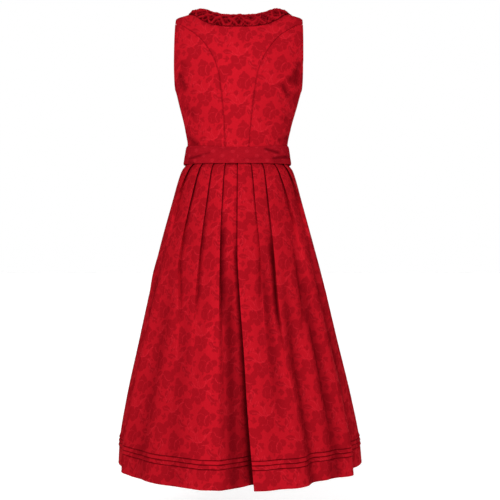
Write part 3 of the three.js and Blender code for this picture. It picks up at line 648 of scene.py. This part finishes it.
def side_panel(name, side, mirror, seam, corners, *rest, **flat_cut):
    """Makes a side panel. corners are the heights of its tip at the seam and at the armhole."""
    angle, height = side_grid(side, seam, *corners)
    points = bodice_point(side, angle, height)
    from_seam, from_side = long(points - points[:, :1]), long(points - points[:, -1:])
    edges = [("seam", from_seam), ("turned", np.where(height > ARMPIT, from_side, FAR)),
             ("seam", np.where(height < ARMPIT, from_side, FAR))]
    bodice_panel(name, side, mirror, angle, height, edges, *rest, **flat_cut)


SIDE_LEAN = 13
SIDE_SHIFTS = {"left": (52, 30), "right": (-40, 12)}
for hand, mirror in (("left", -1), ("right", 1)):
    side_panel(f"back_side_{hand}", -1, mirror, back_seam, (-38, -34), SIDE_SHIFTS[hand], BACK_WRINKLES,
               mirror * SIDE_LEAN, flat=(0.17, 0.36), held="stretched", area=0.043, rests_on=["back_centre"])


# ---- Front bodice, four panels -----------------------------------------------------------------------
# Two middle panels that meet edge to edge at the centre front, with a deeper round neck, and two side
# panels, in the same jacquard.
FRONT_WRINKLES = [
    ((-140, -196), (-112, -214), 9, 1.0), ((140, -200), (110, -220), 9, -1.1),
    ((-118, -318), (-90, -330), 8, -1.3), ((120, -326), (86, -320), 8, -1.2),
    ((-60, -250), (-48, -330), 12, -0.8), ((62, -262), (50, -336), 12, 0.8),
]
FRONT_NECK_HEIGHT, FRONT_NECK_CURVE, FRONT_NECK_SHARE = -143, 2.6, 0.635


def front_neck(turn):
    power = 2 / FRONT_NECK_CURVE
    drop = NECK_SHOULDER[1] - FRONT_NECK_HEIGHT
    return (NECK_SHOULDER[0] * max(math.sin(turn), 0) ** power,
            NECK_SHOULDER[1] - drop * max(math.cos(turn), 0) ** power)


def front_inner_edge(v):
    if v < FRONT_NECK_SHARE:
        return 0, mix(WAIST, FRONT_NECK_HEIGHT, v / FRONT_NECK_SHARE)
    return front_neck((v - FRONT_NECK_SHARE) / (1 - FRONT_NECK_SHARE) * math.pi / 2)


def front_outer_edge(v):
    height = mix(WAIST, TIP_SHOULDER[1], v)
    return float(front_seam(height)), height


def front_top(u):
    return mix(NECK_SHOULDER[0], TIP_SHOULDER[0], u), mix(NECK_SHOULDER[1], TIP_SHOULDER[1], u)


FRONT_SHIFTS = {"left": (11, 70), "right": (45, 13)}
FRONT_SEAM_TOP = -84
for hand, mirror in (("left", -1), ("right", 1)):
    across, height = spanned(
        lambda u: (mix(0, float(front_seam(WAIST)), u), WAIST), front_top, front_inner_edge, front_outer_edge,
        np.linspace(0, 1, 37), row_shares(WAIST, TIP_SHOULDER[1], 3.4),
    )
    seam_away = np.where(height > FRONT_SEAM_TOP, FAR, front_seam(height) - across)
    armhole_away = np.where(height > FRONT_SEAM_TOP, TIP_SHOULDER[0] - across, FAR)
    middle_away = np.where(height < FRONT_NECK_HEIGHT, across, FAR)
    edges = [("seam", seam_away), ("turned", armhole_away), ("seam", middle_away)]
    shift = FRONT_SHIFTS[hand]
    bodice_panel(f"front_{hand}", 1, mirror, bodice_angle(1, across, height), height, edges, shift,
                 FRONT_WRINKLES, flat=(0.17, 0.40), held="stretched", area=0.032, rests_on=["back_centre"])
    side_panel(f"front_side_{hand}", 1, mirror, front_seam, (-87, -82), shift[::-1], FRONT_WRINKLES,
               flat=(0.13, 0.30), held="stretched", area=0.028, rests_on=[f"front_{hand}"])


# ---- The skirt: two panels, knife-pleated --------------------------------------------------------------
# The back and the front panel are pleated under the waist and hang open below. The pleats are pressed
# only at the top, and three narrow tucks are sewn above the hem.
HEM = -1137
SKIRT_WALL = 1.0
skirt_half_width, skirt_depth = table(
    (-363, 124.5, 88), (-384, 130.5, 92.5), (-389, 134, 93.5), (-398, 140.5, 101), (-421, 149, 112),
    (-472, 163, 127), (-574, 191, 159), (-676, 217, 187), (-829, 252, 226), (-982, 287, 263),
    (-1084, 305, 284), (-1137, 309, 290),
)
TUCKS = {"count": 3, "first": -1070, "pitch": 10, "proud": 2.0}
PLEAT_LEVELS = [-363, -500, -610, -720, -850, -950, -1137]
# Which way the pleat's edge points, its angle at each level, where it starts and ends, the overlap,
# rise and sink at its end, and where it gapes: from, to, how far its painted shadow reaches and how dark.
BACK_PLEATS = [
    (-1, [-79, -81, -83, -73, -63.4, -62.7, -72], -600, HEM, 6, -2, 9, (-700, -1100, 9, 0.3)),
    (1, [-53, -63.5, -62, -57, -50, -48, -50], 0, -600, -8, 0, 0, (-430, -560, 8, 0.5)),
    (1, [-39.3, -42, -42.4, -37.8, -35, -34, -34], 0, -900, -8, 0, 0, (-500, -800, 10, 0.5)),
    (1, [-25.4, -25.4, -25.4, -25.4, -25, -24, -22], 0, -900, -8, 0, 0, (-470, -780, 11, 0.6)),
    (1, [-12.6, -11.8, -10.9, -10.2, -9.4, -9, -8], 0, HEM, -18, 2, 6, (-490, -800, 18, 0.9)),
    (-1, [1.3, 1.1, 0.9, 2, 3.6, 4.3, 6.2], 0, HEM, 8, 5, 50, (-540, -1200, 12, 1.0)),
    (-1, [15.1, 15.8, 16.5, 15.6, 16, 17, 20], 0, -850, -8, 0, 0, (-560, -780, 14, 0.4)),
    (-1, [28.3, 27.3, 26.3, 25.1, 25, 28, 30], 0, -1000, -5, 0, 0, (-530, -830, 15, 1.0)),
    (-1, [42.5, 51.3, 55.4, 52, 46, 48, 52], 0, HEM, -58, -5, 25, (-420, -560, 11, 0.75)),
    (-1, [57.6, 72, 73, 66, 59, 57, 59], 0, -620, -6, 0, 0, (-430, -560, 8, 0.6)),
    (1, [79, 81, 81, 78, 71, 69, 64], -650, HEM, 9, -7, 23, (-720, -1100, 9, 0.4)),
]
FRONT_PLEATS = [
    (math.copysign(1, angle), [angle * (1 - 0.02 * k) for k in range(len(PLEAT_LEVELS))],
     0, -900, -30, 0, 0, (-460, -700, 9, 0.3))
    for angle in (-64, -50, -36, -22, 22, 36, 50, 64)
]
PLEAT_LAP, PLEAT_FLAT_LAP, PLEAT_RISE, PLEAT_SINK, PLEAT_SWELL, PLEAT_FADE = 7, -12, 2.4, 1.5, 2.8, 70


def skirt_point(side, angle, height, lift):
    """A point of the skirt that stands lift proud of its plain oval."""
    width, depth = skirt_half_width(height), skirt_depth(height)
    nx, ny = depth * np.sin(angle), width * np.cos(angle)
    long = np.hypot(nx, ny)
    x = width * np.sin(angle) + lift * nx / long + sway(height)
    y = side * (depth * np.cos(angle) + lift * ny / long)
    return np.stack([x, y, height + 0 * x], axis=-1)


def pleat_at(pleat, height):
    """A pleat's edge and root, and how far they stand out and go in, at each of the heights."""
    turn, angles, start, end, end_lap, end_rise, end_sink, (gape_top, gape_foot, reach, dark) = pleat
    edge = np.radians(smooth_curve(PLEAT_LEVELS, angles)(height))
    top = min(start, WAIST)
    share = np.clip((top - height) / (top - end), 0, 1)
    grown = np.ones_like(height) if start == 0 else ease((top - height) / PLEAT_FADE)
    swell = PLEAT_SWELL * np.sin(np.pi * share)
    lap = mix(PLEAT_FLAT_LAP, mix(PLEAT_LAP, end_lap, ease(share)), grown)
    radius = np.hypot(skirt_half_width(height) * np.cos(edge), skirt_depth(height) * np.sin(edge))
    rise = (mix(PLEAT_RISE, end_rise, share) + swell) * grown
    # The gape deepens the pleat and also sets how dark its shadow is painted; covered sets the shade painted
    # under the overlap.
    gape = dark * ease((gape_top - height) / 90) * ease((height - gape_foot) / 90)
    sink = (mix(PLEAT_SINK, end_sink, share**1.6) + swell) * grown + 4 * gape
    covered = np.clip(lap / PLEAT_LAP, 0, 1) * grown
    return turn, edge, edge - turn * lap / radius, rise, sink, covered, lap, gape, reach


def skirt_levels():
    """The heights of the skirt's rows, with how far each stands out where a tuck is sewn, and how much shade
    is painted under each tuck's edge.
    """
    top = np.linspace(0, 1, 26)[:-1] ** 1.3 * -60 + WAIST
    body = np.linspace(WAIST - 60, -1060, 108)
    levels = [(level, 0, 0) for level in np.concatenate([top, body])]
    for k in range(TUCKS["count"]):
        edge = TUCKS["first"] - k * TUCKS["pitch"]
        proud = TUCKS["proud"]
        levels += [(edge + 6, 0.15 * proud, 0), (edge + 3, 0.6 * proud, 0), (edge + 1, 0.95 * proud, 0),
                   (edge, proud, 0.2), (edge + 0.2, proud - 0.9, 1), (edge - 0.3, 0.1, 1),
                   (edge - 1.3, 0.05, 0.75)]
    levels += [(level, 0, 0) for level in np.linspace(-1094, HEM + 1, 10)] + [(HEM, -0.4, 0)]
    return np.array(levels, float)


SECTION_COLUMNS = 22
UNDER_COLUMNS = 3
# Painted shadow beside each pleat: how far it reaches at the waist and at the hem, and how dark.
PLEAT_SHADOW = (1.2, 10)
PLEAT_DARK = 0.85


def section_share(step):
    """Columns lie closer together near the pleats than between them."""
    return step - 0.09 * math.sin(2 * math.pi * step)


# Soft folds of the back: angle at the top and at the foot, height at the top and at the foot, half
# width in degrees and height.
BACK_FOLDS = [
    (-66, -74, -520, -1137, 4, -6), (-57, -65, -560, -1137, 4, 6), (-46, -50, -640, -1137, 4.5, -5),
    (-31, -29, -700, -1137, 5, -4), (-17, -16, -640, -1137, 3.5, 5), (-5, -2, -600, -1137, 3.2, -9),
    (9, 12, -640, -1137, 4, 4), (18, 20, -560, -1000, 3, -7), (24, 25, -700, -1137, 4, 5),
    (31, 35, -620, -1137, 3.6, -7), (39, 42, -560, -1137, 4, 5), (48, 50, -520, -1137, 3.4, -11),
    (56, 60, -600, -1137, 4, 6), (66, 70, -520, -1137, 4, -7),
]
FRONT_FOLDS = [
    (-74, -76, -560, -1137, 4, 4), (-43, -42, -640, -1137, 5, -3), (-12, -12, -560, -1137, 5, 4),
    (0, 1, -640, -1137, 4, -4), (14, 14, -560, -1137, 5, 4), (43, 42, -640, -1137, 5, -3),
    (75, 77, -560, -1137, 4, 4),
]


def skirt_half(name, side, pleats, folds, shift, **flat_cut):
    levels = skirt_levels()
    height, proud, shade = levels[:, 0], levels[:, 1], levels[:, 2]
    flat = np.zeros_like(height)
    quarter = np.full_like(height, np.pi / 2)
    ends = [(quarter, flat), (quarter, flat)]
    corners = [([(-quarter, flat), (-quarter, flat)], flat, flat, 0, flat, 1)]
    for pleat in pleats:
        turn, edge, root, rise, sink, covered, lap, gape, reach = pleat_at(pleat, height)
        corners.append(([(edge, rise), (root, -sink)][::int(turn)], covered, lap, turn, gape, reach))
    corners.append((ends, flat, flat, 0, flat, 1))
    around = (skirt_half_width(height) + skirt_depth(height)) / 2
    shadow = mix(PLEAT_SHADOW[0], PLEAT_SHADOW[1], np.clip((WAIST - height) / (WAIST - HEM), 0, 1))
    angles, lifts, crease_shades, sections = [], [], [], []
    for k in range(1, len(corners)):
        start, end = corners[k - 1][0][1], corners[k][0][0]
        width = np.abs(end[0] - start[0]) * around
        for step in range(SECTION_COLUMNS + 1):
            share = section_share(step / SECTION_COLUMNS)
            angles.append(mix(start[0], end[0], share))
            lifts.append(mix(start[1], end[1], ease(share)))
            dark = flat
            # Shadow is painted on the section beside each pleat, on the side that its edge points to.
            for pleat, open_way, away in ((corners[k - 1], 1, share), (corners[k], -1, 1 - share)):
                _, covered, lap, turn, gape, reach = pleat
                if turn == open_way:
                    dark = np.maximum(dark, covered * ease(1 - (width * away - lap) / shadow))
                    dark = np.maximum(dark, gape * ease(1 - (width * away - np.maximum(lap, 0)) / reach))
            crease_shades.append(PLEAT_DARK * dark)
            sections.append(k - 1)
        if k == len(corners) - 1:
            break
        (first, last), covered, _, turn, gape, _ = corners[k]
        for step in range(1, UNDER_COLUMNS):
            share = step / UNDER_COLUMNS
            angles.append(mix(first[0], last[0], share))
            lifts.append(mix(first[1], last[1], ease(share)))
            # The pleat's under layer gets painted shade where it is covered or where the pleat gapes.
            crease_shades.append(PLEAT_DARK * np.maximum(covered, gape * (share if turn > 0 else 1 - share)))
            sections.append(k - 1)
    angle, lift = np.stack(angles, axis=1), np.stack(lifts, axis=1)
    # The tucks' painted shade joins the pleats'.
    crease_shade = np.maximum(np.stack(crease_shades, axis=1), shade[:, None])
    height = np.broadcast_to(height[:, None], angle.shape)
    for top_angle, foot_angle, top, foot, width, rise in folds:
        down = np.clip((top - height) / (top - foot), 0, 1.2)
        middle = np.radians(mix(top_angle, foot_angle, down))
        reach = ease((top - height) / (0.35 * (top - foot)))
        reach = reach * (1 if foot <= HEM else ease((height - foot + 60) / 200))
        one = rise * reach * np.exp(-(((angle - middle) / math.radians(width)) ** 2))
        lift = lift + one
        # Shade is painted in each fold's trough.
        crease_shade = np.maximum(crease_shade, np.clip(-one / 18, 0, 0.5))
    points = skirt_point(side, angle, height, lift + proud[:, None])
    points[:, 0, 1] = points[:, -1, 1] = 0
    steps = long(np.diff(points[:, :, :2], axis=1))
    around = np.concatenate([np.zeros((len(points), 1)), np.cumsum(steps, axis=1)], axis=1)
    section = np.array(sections)
    across = np.zeros_like(around)
    for k in range(section.max() + 1):
        mine = section == k
        middle = around[:, mine][:, SECTION_COLUMNS // 2]
        across[:, mine] = around[:, mine] - middle[:, None] + middle[-1]
    rise = np.hypot(np.diff(levels[:, 0]), np.diff(skirt_depth(levels[:, 0])))
    cut = pairs(across + shift[0], -added_up(rise)[:, None] + shift[1])
    cloth_piece(name, "jacquard", points, cut, crease_shade, SKIRT_WALL, jacquard, **flat_cut)


skirt_half("skirt_back", -1, BACK_PLEATS, BACK_FOLDS, (20, 50),
           flat=(1.12, 0.86), held="hung", area=0.65, rests_on=["back_centre"])
skirt_half("skirt_front", 1, FRONT_PLEATS, FRONT_FOLDS, (60, 10),
           flat=(1.10, 0.86), held="hung", area=0.58, rests_on=["front_left"])


# ---- The ruched strip round the neckline ---------------------------------------------------------------
# A strip of plain darker cloth, pleated and pinched to and fro with small stitches, so that its folds
# open into a row of little mouths. It is sewn on over the neck edge.
RUCHE_RED = (0.290, 0.0040, 0.0090, 1)
# The dark red of the shade painted in the ruche's mouths.
RUCHE_SHADE_RED = (0.036, 0.0002, 0.0010, 1)


def make_ruche_cloth():
    material, shader = start_material("ruche_cloth", 0.75, 0.0)
    flat = cloth_places()
    slub = noise(flat, 220.0, 3.0)
    colour = blend_colours(0.5 * slub, RUCHE_RED, (0.36, 0.0055, 0.0120, 1))
    woven(shader, colour, RUCHE_SHADE_RED, flat, 0.7, 0.12)
    return material


ruche_cloth = make_ruche_cloth()
RUCHE = {"width": 36, "unit": 28, "clear": 1.0, "seat": 1.2, "proud": 7.8, "binding": 4, "wall": 0.6}
RUCHE_STEPS = 24


def neckline():
    """Places along the neckline from the centre front over the right shoulder to the centre back."""
    places = []
    for share in np.linspace(0, 1, 61):
        x, height = front_neck(share * math.pi / 2)
        places.append((1, float(bodice_angle(1, x, height)), height))
    for share in np.linspace(0, 1, 49)[1:]:
        x = NECK_SHOULDER[0] * max(math.cos(share * math.pi / 2), 0) ** 0.8
        height = back_top(min(x, NECK_SHOULDER[0] - 0.01))
        places.append((-1, float(bodice_angle(-1, x, height)), height))
    return places


def surface_point(side, angle, height):
    return bodice_point(side, np.array(angle), np.array(float(height)))


def normal_at(side, angle, height):
    return bodice_normal(side, np.array(angle), np.array(float(height)))


def walked(side, angle, height, direction, distance):
    along, up = bodice_slopes(side, np.array(angle), np.array(float(height)))
    matrix = np.array([[along @ along, along @ up], [along @ up, up @ up]])
    move = np.linalg.solve(matrix, np.array([along @ direction, up @ direction])) * distance
    return side, angle + move[0], height + move[1]


def ruche_relief(along, across):
    """Folds cross like a lattice from pinch to pinch. Between them the cloth dips into mouths. Gives the
    lift, and the shade painted between the ridges, in the mouths, away from the binding.
    """
    wander = (0.12 * np.sin(along * 2.3) + 0.08 * np.sin(along * 5.1 + 1)
              + 0.05 * np.sin(along * 9.7 + across * 5))
    first = along + wander - across
    second = along - wander + across
    spread = 0.19 + 0.04 * np.sin(along * 4.1)
    ridges = [np.maximum(0, 1 - np.abs(p - np.round(p)) / spread) for p in (first, second)]
    crimp = 3 * along + 0.25 * np.sin(along * 4.3 + 2) + 0.8 * np.sin(along * 1.7) * (across - 0.5)
    small = np.maximum(0, 1 - np.abs(crimp - np.round(crimp)) / 0.3) * near(across - 0.5, 0.48)
    smaller = (2.1 * first + 0.3, 1.9 * second - 0.2)
    fine = [np.maximum(0, 1 - np.abs(p - np.round(p)) / 0.26) for p in smaller]
    ridge = np.maximum(np.maximum(*ridges), np.maximum(0.6 * np.maximum(*fine), 0.5 * small))
    rounded = np.sin(np.pi * np.clip(across, 0.06, 0.94)) ** 0.4
    uneven = 1 + 0.2 * np.sin(along * 3.7) + 0.14 * np.sin(along * 8.3 + across * 4)
    binding = near(across - 0.055, 0.1)
    folds = (RUCHE["seat"] + RUCHE["proud"] * uneven * ridge) * rounded
    lift = mix(folds, RUCHE["binding"], binding)
    return lift, (1 - ease(ridge * 1.2)) * (1 - ease(binding * 1.5))


places = neckline()
line_points = np.array([surface_point(*place) for place in places])
lengths = added_up(long(np.diff(line_points, axis=0)))
around_neck = 2 * lengths[-1]
ruche_units = round(around_neck / RUCHE["unit"])
ruche_rows = []
for distance in np.linspace(0.15, lengths[-1], ruche_units * 10 + 1):
    k = min(int(np.searchsorted(lengths, distance, side="right")) - 1, len(lengths) - 2)
    here, ahead = places[k], places[k + 1]
    part = (distance - lengths[k]) / (lengths[k + 1] - lengths[k])
    away = np.cross(normal_at(*here), surface_point(*ahead) - surface_point(*here))
    away = away / np.linalg.norm(away)
    place = here if part < 0.5 else ahead
    if here[0] == ahead[0]:
        place = (here[0], mix(here[1], ahead[1], part), mix(here[2], ahead[2], part))
    row = []
    for step in range(RUCHE_STEPS + 1):
        row.append((surface_point(*place), normal_at(*place)))
        place = walked(*place, away, RUCHE["width"] / RUCHE_STEPS)
    ruche_rows.append(row)
half_points = np.array([[point for point, _ in row] for row in ruche_rows])
half_normals = np.array([[normal for _, normal in row] for row in ruche_rows])


def mirrored(vectors, centre):
    turned = vectors.copy()
    turned[..., 0] = 2 * centre - turned[..., 0]
    return turned[::-1]


ruche_points = np.concatenate([half_points, mirrored(half_points, sway(half_points[::-1, :, 2])[::-1])[1:]])
ruche_normals = np.concatenate([half_normals, mirrored(half_normals, 0)[1:]])
along = np.linspace(0, ruche_units, len(ruche_points))[:, None]
across = np.linspace(0, 1, RUCHE_STEPS + 1)[None, :]
relief, mouth_shade = ruche_relief(along, across)
ruche_points = ruche_points + ruche_normals * (RUCHE["clear"] + relief)[..., None]
ruche_cut = pairs(along * RUCHE["unit"], across * RUCHE["width"])
cloth_piece("neck_ruche", "ruche_cloth", ruche_points, ruche_cut, 0.9 * mouth_shade, RUCHE["wall"], ruche_cloth,
            flat=(1.7, 0.045), held="gathered", area=0.049,
            rests_on=["back_centre", "front_left", "front_right"])


# ---- The apron's band ---------------------------------------------------------------------------------
# A straight band of the apron's softer red cloth, printed with little lighter rosettes. It is doubled,
# goes once round the waist over the skirt's top, and wrinkles where it is pulled round the sides.
ROSETTE_RED = (0.480, 0.0140, 0.0260, 1)
# The dark red of the shade painted in the band's wrinkles and on the apron and the bow.
BAND_SHADE_RED = (0.030, 0.0002, 0.0010, 1)


def make_apron_cloth():
    material, shader = start_material("apron_cloth", 0.7, 0.0)
    flat = cloth_places()
    sprig = repeated(flat, across=25, up=26, drop=0.5, centre=(0, 0))
    far = Wire.node("ShaderNodeVectorMath", [sprig], output=1, operation="LENGTH")
    x = Wire.node("ShaderNodeSeparateXYZ", [sprig])
    y = Wire.node("ShaderNodeSeparateXYZ", [sprig], output=1)
    round_it = Wire.node("ShaderNodeMath", [y, x], operation="ARCTAN2")
    lobes = Wire.node("ShaderNodeMath", [round_it * 5], operation="COSINE")
    ring = inside(size_of(far - 3.6 - 0.6 * lobes), 0.7, 0.5)
    heart = inside(far, 1.2, 0.4)
    slub = noise(flat, 120.0, 4.0)
    small = repeated(flat, across=12.5, up=13, drop=0.5, centre=(6, 3))
    speck = inside(Wire.node("ShaderNodeVectorMath", [small], output=1, operation="LENGTH"), 0.8, 0.4)
    marks = larger(larger(ring, heart) * 0.6, speck * 0.3)
    ground = blend_colours(slub, (0.245, 0.0036, 0.0085, 1), (0.315, 0.0054, 0.0118, 1))
    colour = blend_colours(marks, ground, ROSETTE_RED)
    woven(shader, colour, BAND_SHADE_RED, flat, 0.8, 0.12)
    return material


apron_cloth = make_apron_cloth()
BAND = {
    -1: {"top": (128.3, 92.7), "foot": (135.7, 98.2), "middle_top": -348, "middle_foot": -388},
    1: {"top": (128.3, 95.2), "foot": (135.7, 99.6), "middle_top": -344, "middle_foot": -388},
}
BAND_SIDE_TOP, BAND_SIDE_FOOT, BAND_WALL, BAND_CLOTH = -337, -384, 1.8, 1.6
BAND_WIDTH = BAND_SIDE_TOP - BAND_SIDE_FOOT


def band_edge(turn, down):
    """The height of the band's top or foot all round. turn is 0 at the centre back."""
    middle = np.cos(turn) ** 2
    behind = np.cos(turn) > 0
    side_height = BAND_SIDE_FOOT if down else BAND_SIDE_TOP
    key = "middle_foot" if down else "middle_top"
    return mix(side_height, np.where(behind, BAND[-1][key], BAND[1][key]), middle)


def band_point(turn, down, lift):
    behind = np.cos(turn) > 0
    height = mix(band_edge(turn, False), band_edge(turn, True), down)
    width = mix(BAND[-1]["top"][0], BAND[-1]["foot"][0], down) + lift
    top_depth = np.where(behind, BAND[-1]["top"][1], BAND[1]["top"][1])
    foot_depth = np.where(behind, BAND[-1]["foot"][1], BAND[1]["foot"][1])
    depth = mix(top_depth, foot_depth, down) + lift
    return np.stack([width * np.sin(turn) + sway(height), -depth * np.cos(turn), height], axis=-1)


# Each wrinkle of the band: from and to as (x, z), half width and height, behind and before.
BAND_WRINKLES = {
    -1: [
        ((62, -351), (100, -359), 3.6, -2.6), ((92, -350), (116, -362), 3.6, 2.2),
        ((82, -374), (124, -366), 3.8, -2.8), ((84, -382), (112, -378), 4.5, -1.4),
        ((-126, -372), (-92, -366), 3.6, -2.2), ((-92, -366), (-70, -360), 3.4, -1.4),
        ((-128, -380), (-112, -384), 4, -1.6), ((-120, -352), (-84, -346), 4, 1.2),
        ((-50, -354), (-12, -352), 4, -0.6), ((10, -378), (60, -374), 4, -0.7),
    ],
    1: [
        ((96, -350), (124, -362), 4, 2.0), ((-126, -352), (-88, -364), 4, -2.0),
        ((-118, -378), (-82, -374), 4, 1.6), ((82, -374), (118, -366), 4, -2.2),
        ((-60, -352), (-20, -356), 4, -1.0), ((20, -372), (58, -366), 4, 1.0),
    ],
}
turn, down = grid(np.linspace(0, 2 * math.pi, 321), np.linspace(0, 1, 23))
base = band_point(turn, down, 0)
edge_roll = 1.2 * (near(down, 0.1) + near(1 - down, 0.1))
lift = BAND_WALL + 0.4 - edge_roll
crease_shade = np.zeros_like(down)
for side in (-1, 1):
    here = np.cos(turn) > 0 if side < 0 else np.cos(turn) <= 0
    for start, end, width, rise in BAND_WRINKLES[side]:
        one = np.where(here, fold(base[..., 0], base[..., 2], start, end, width, rise), 0)
        lift = lift + one
        # Shade is painted in each wrinkle's trough.
        crease_shade = np.maximum(crease_shade, np.clip(-one / 4.5, 0, 0.55))
band_points = band_point(turn, down, lift)
around = added_up(long(np.diff(band_points, axis=1)).mean(axis=0))
band_cut = pairs(around, -down * BAND_WIDTH)
cloth_piece("apron_band", "apron_cloth", band_points, band_cut, crease_shade, BAND_CLOTH, apron_cloth,
            flat=(0.74, 0.047), held="stretched", rests_on=["skirt_back", "skirt_front"])


# ---- The apron --------------------------------------------------------------------------------------
# One width of the same cloth, gathered into the front of the band and hemmed a little above the skirt.
APRON = {"half_angle": 62, "foot": -1087, "gathers": 16, "top_lift": 6, "hem_lift": 16, "hem_wave": 4.5,
         "top_wave": 0.35, "flare": 14, "hem_seam": 28, "wall": 0.9}
SEWN_GAP = 0.3


def apron_form(down):
    grown = np.minimum(1, down * 4) ** 0.8
    base = mix(APRON["top_lift"], APRON["hem_lift"], down**0.6)
    return base, APRON["hem_wave"] * grown * mix(APRON["top_wave"], 1, down)


def apron_point(share, height, lift):
    angle = math.radians(APRON["half_angle"]) * share
    top = band_edge(np.pi - angle, True) - SEWN_GAP
    down = np.maximum(0, (top - height) / (top - APRON["foot"]))
    base, wave = apron_form(down)
    gathered = wave * np.cos(np.pi * APRON["gathers"] * share)
    hanging = skirt_point(1, angle, height, base + gathered + lift)
    sewn = band_point(np.pi - angle, 1, BAND_WALL + lift)
    sewn[..., 2] = height
    blend = ease((top - height) / APRON["flare"])[..., None]
    return sewn + (hanging - sewn) * blend


share, fall = grid(np.linspace(-1, 1, 225), np.linspace(0, 1, 90) ** 1.4)
top = band_edge(np.pi - math.radians(APRON["half_angle"]) * share, True) - SEWN_GAP
height = mix(top, APRON["foot"], fall)
gather_noise = (np.sin(share * 71) + np.sin(share * 113 + 1)) * 0.7 * ease(fall * 12) * (1 - ease(fall * 2.2))
over_hem = height - (APRON["foot"] + APRON["hem_seam"])
hem_line = -0.5 * near(over_hem, 1.6)
apron_points = apron_point(share, height, gather_noise + hem_line)
middle_column = apron_points[:, apron_points.shape[1] // 2]
drop = added_up(long(np.diff(middle_column, axis=0)))
apron_cut = pairs(added_up(long(np.diff(apron_points[-1], axis=0))), -drop[:, None])
# Shade is painted along the hem's stitched groove and in a thin line at the top, under the band.
apron_shade = 0.5 * near(over_hem, 1.4) + 0.5 * near(fall, 0.004)
cloth_piece("apron_panel", "apron_cloth", apron_points, apron_cut, apron_shade, APRON["wall"], apron_cloth,
            flat=(0.80, 0.74), held="gathered", area=0.39, rests_on=["apron_band"])


# ---- The bow ----------------------------------------------------------------------------------------
# The band's ties are knotted in a flat bow at the centre front, with two hanging ends.
BOW = {"height": -366, "knot_half": 12.5, "knot_depth": 9.5, "knot_height": 17, "reach": 74, "width": 36,
       "pinched": 0.62, "clear": 1.5, "pinch": 3.2, "puff": 7, "droop": 16, "end_top": -358,
       "end_foot": -640, "end_width": 38, "end_pinched": 0.3, "end_clear": 1.8, "wall": 1.0}
FRONT_BAND = BAND[1]
knot_seat = band_point(np.array(math.pi), np.array(0.5), BAND_WALL)
for hand, mirror in (("left", -1), ("right", 1)):
    turn, down = grid(np.linspace(0, 2 * math.pi, 61), np.linspace(0, 1, 19))
    reach = (1 + np.cos(turn)) / 2
    x = BOW["knot_half"] + SEWN_GAP + BOW["reach"] / 2 + BOW["reach"] / 2 * np.cos(turn)
    ripple = 1.1 * np.cos(down * math.pi * 4) * (1 - reach)
    half_depth = BOW["pinch"] + BOW["puff"] * reach**0.7 + ripple
    y = knot_seat[1] + BOW["knot_depth"] + BOW["clear"] + half_depth * np.sin(turn)
    spread = mix(BOW["pinched"], 1, reach) * BOW["width"]
    z = BOW["height"] - BOW["droop"] * reach**1.5 + (0.5 - down) * spread
    points = np.stack([knot_seat[0] + mirror * x, y, z], axis=-1)
    cut = pairs(turn * 25, down * BOW["width"])
    # Shade is painted towards the knot, where the loop is pinched.
    cloth_piece(f"bow_loop_{hand}", "apron_cloth", points, cut, 0.3 * (1 - reach) ** 3, BOW["wall"],
                apron_cloth, flat=(0.155, 0.036), held="folded", area=0.0045, rests_on=["apron_band"])

    levels = np.concatenate([np.linspace(BOW["end_top"], -400, 22), np.linspace(-404, BOW["end_foot"], 60)])
    share, height = grid(np.linspace(0, 1, 17), levels)
    foot = float(band_edge(math.pi, True))
    down = (BOW["end_top"] - height) / (BOW["end_top"] - BOW["end_foot"])
    width = BOW["end_width"] * mix(BOW["end_pinched"], 1, np.minimum(1, down * 3))
    x = mirror * (mix(7, 42, down**0.8) + (share - 0.5) * width)
    hung = (foot - SEWN_GAP - height) / (foot - SEWN_GAP - APRON["foot"])
    base, wave = apron_form(np.maximum(0, hung))
    angle = np.arcsin(x / skirt_half_width(height))
    on_apron = skirt_point(1, angle, height, base + wave + BOW["end_clear"])[..., 1]
    band_share = (height - FRONT_BAND["middle_top"]) / (FRONT_BAND["middle_foot"] - FRONT_BAND["middle_top"])
    band_depth = mix(FRONT_BAND["top"][1], FRONT_BAND["foot"][1], np.minimum(1, band_share))
    on_band = (band_depth + BAND_WALL + SEWN_GAP) * np.sqrt(1 - (x / FRONT_BAND["foot"][0]) ** 2)
    y = np.where(height > foot, on_band, np.maximum(on_apron, on_band)) + 1.2
    y = y + 1.2 * np.cos(share * math.pi * 3) * (1 - ease(down * 3))
    points = np.stack([x + sway(height), y, height], axis=-1)
    cut = pairs(share * BOW["end_width"], height - 60 * mirror)
    # Shade is painted along each tail's inner edge.
    cloth_piece(f"bow_end_{hand}", "apron_cloth", points, cut, 0.25 * near(share, 0.08), BOW["wall"],
                apron_cloth, flat=(0.038, 0.30), held="hung", area=0.0105, rests_on=["apron_panel"])

bpy.ops.object.select_all(action="DESELECT")
bpy.ops.mesh.primitive_uv_sphere_add(segments=48, ring_count=28, radius=1, location=(0, 0, 0))
knot = bpy.context.object
knot.name = "bow_knot_cloth"
knot_middle = np.array([knot_seat[0], knot_seat[1] + BAND_WALL + BOW["knot_depth"], BOW["height"]]) / 1000
knot_places = np.array([v.co for v in knot.data.vertices])
ridges = 1 + 0.05 * np.cos(knot_places[:, 0] * 14) - 0.12 * near(knot_places[:, 2], 0.35)
knot_places = knot_places * ridges[:, None]
scale = np.array([BOW["knot_half"], BOW["knot_depth"], BOW["knot_height"]]) / 1000
knot_places = knot_places * scale + knot_middle
knot.data.vertices.foreach_set("co", knot_places.astype(np.float32).ravel())
knot.data.uv_layers[0].name = "Cloth"
knot.data.attributes.new("Painted_Shade", "FLOAT", "POINT")
knot.data.materials.append(apron_cloth)
bpy.ops.object.shade_smooth()
worn(knot, "bow_knot", "apron_cloth")
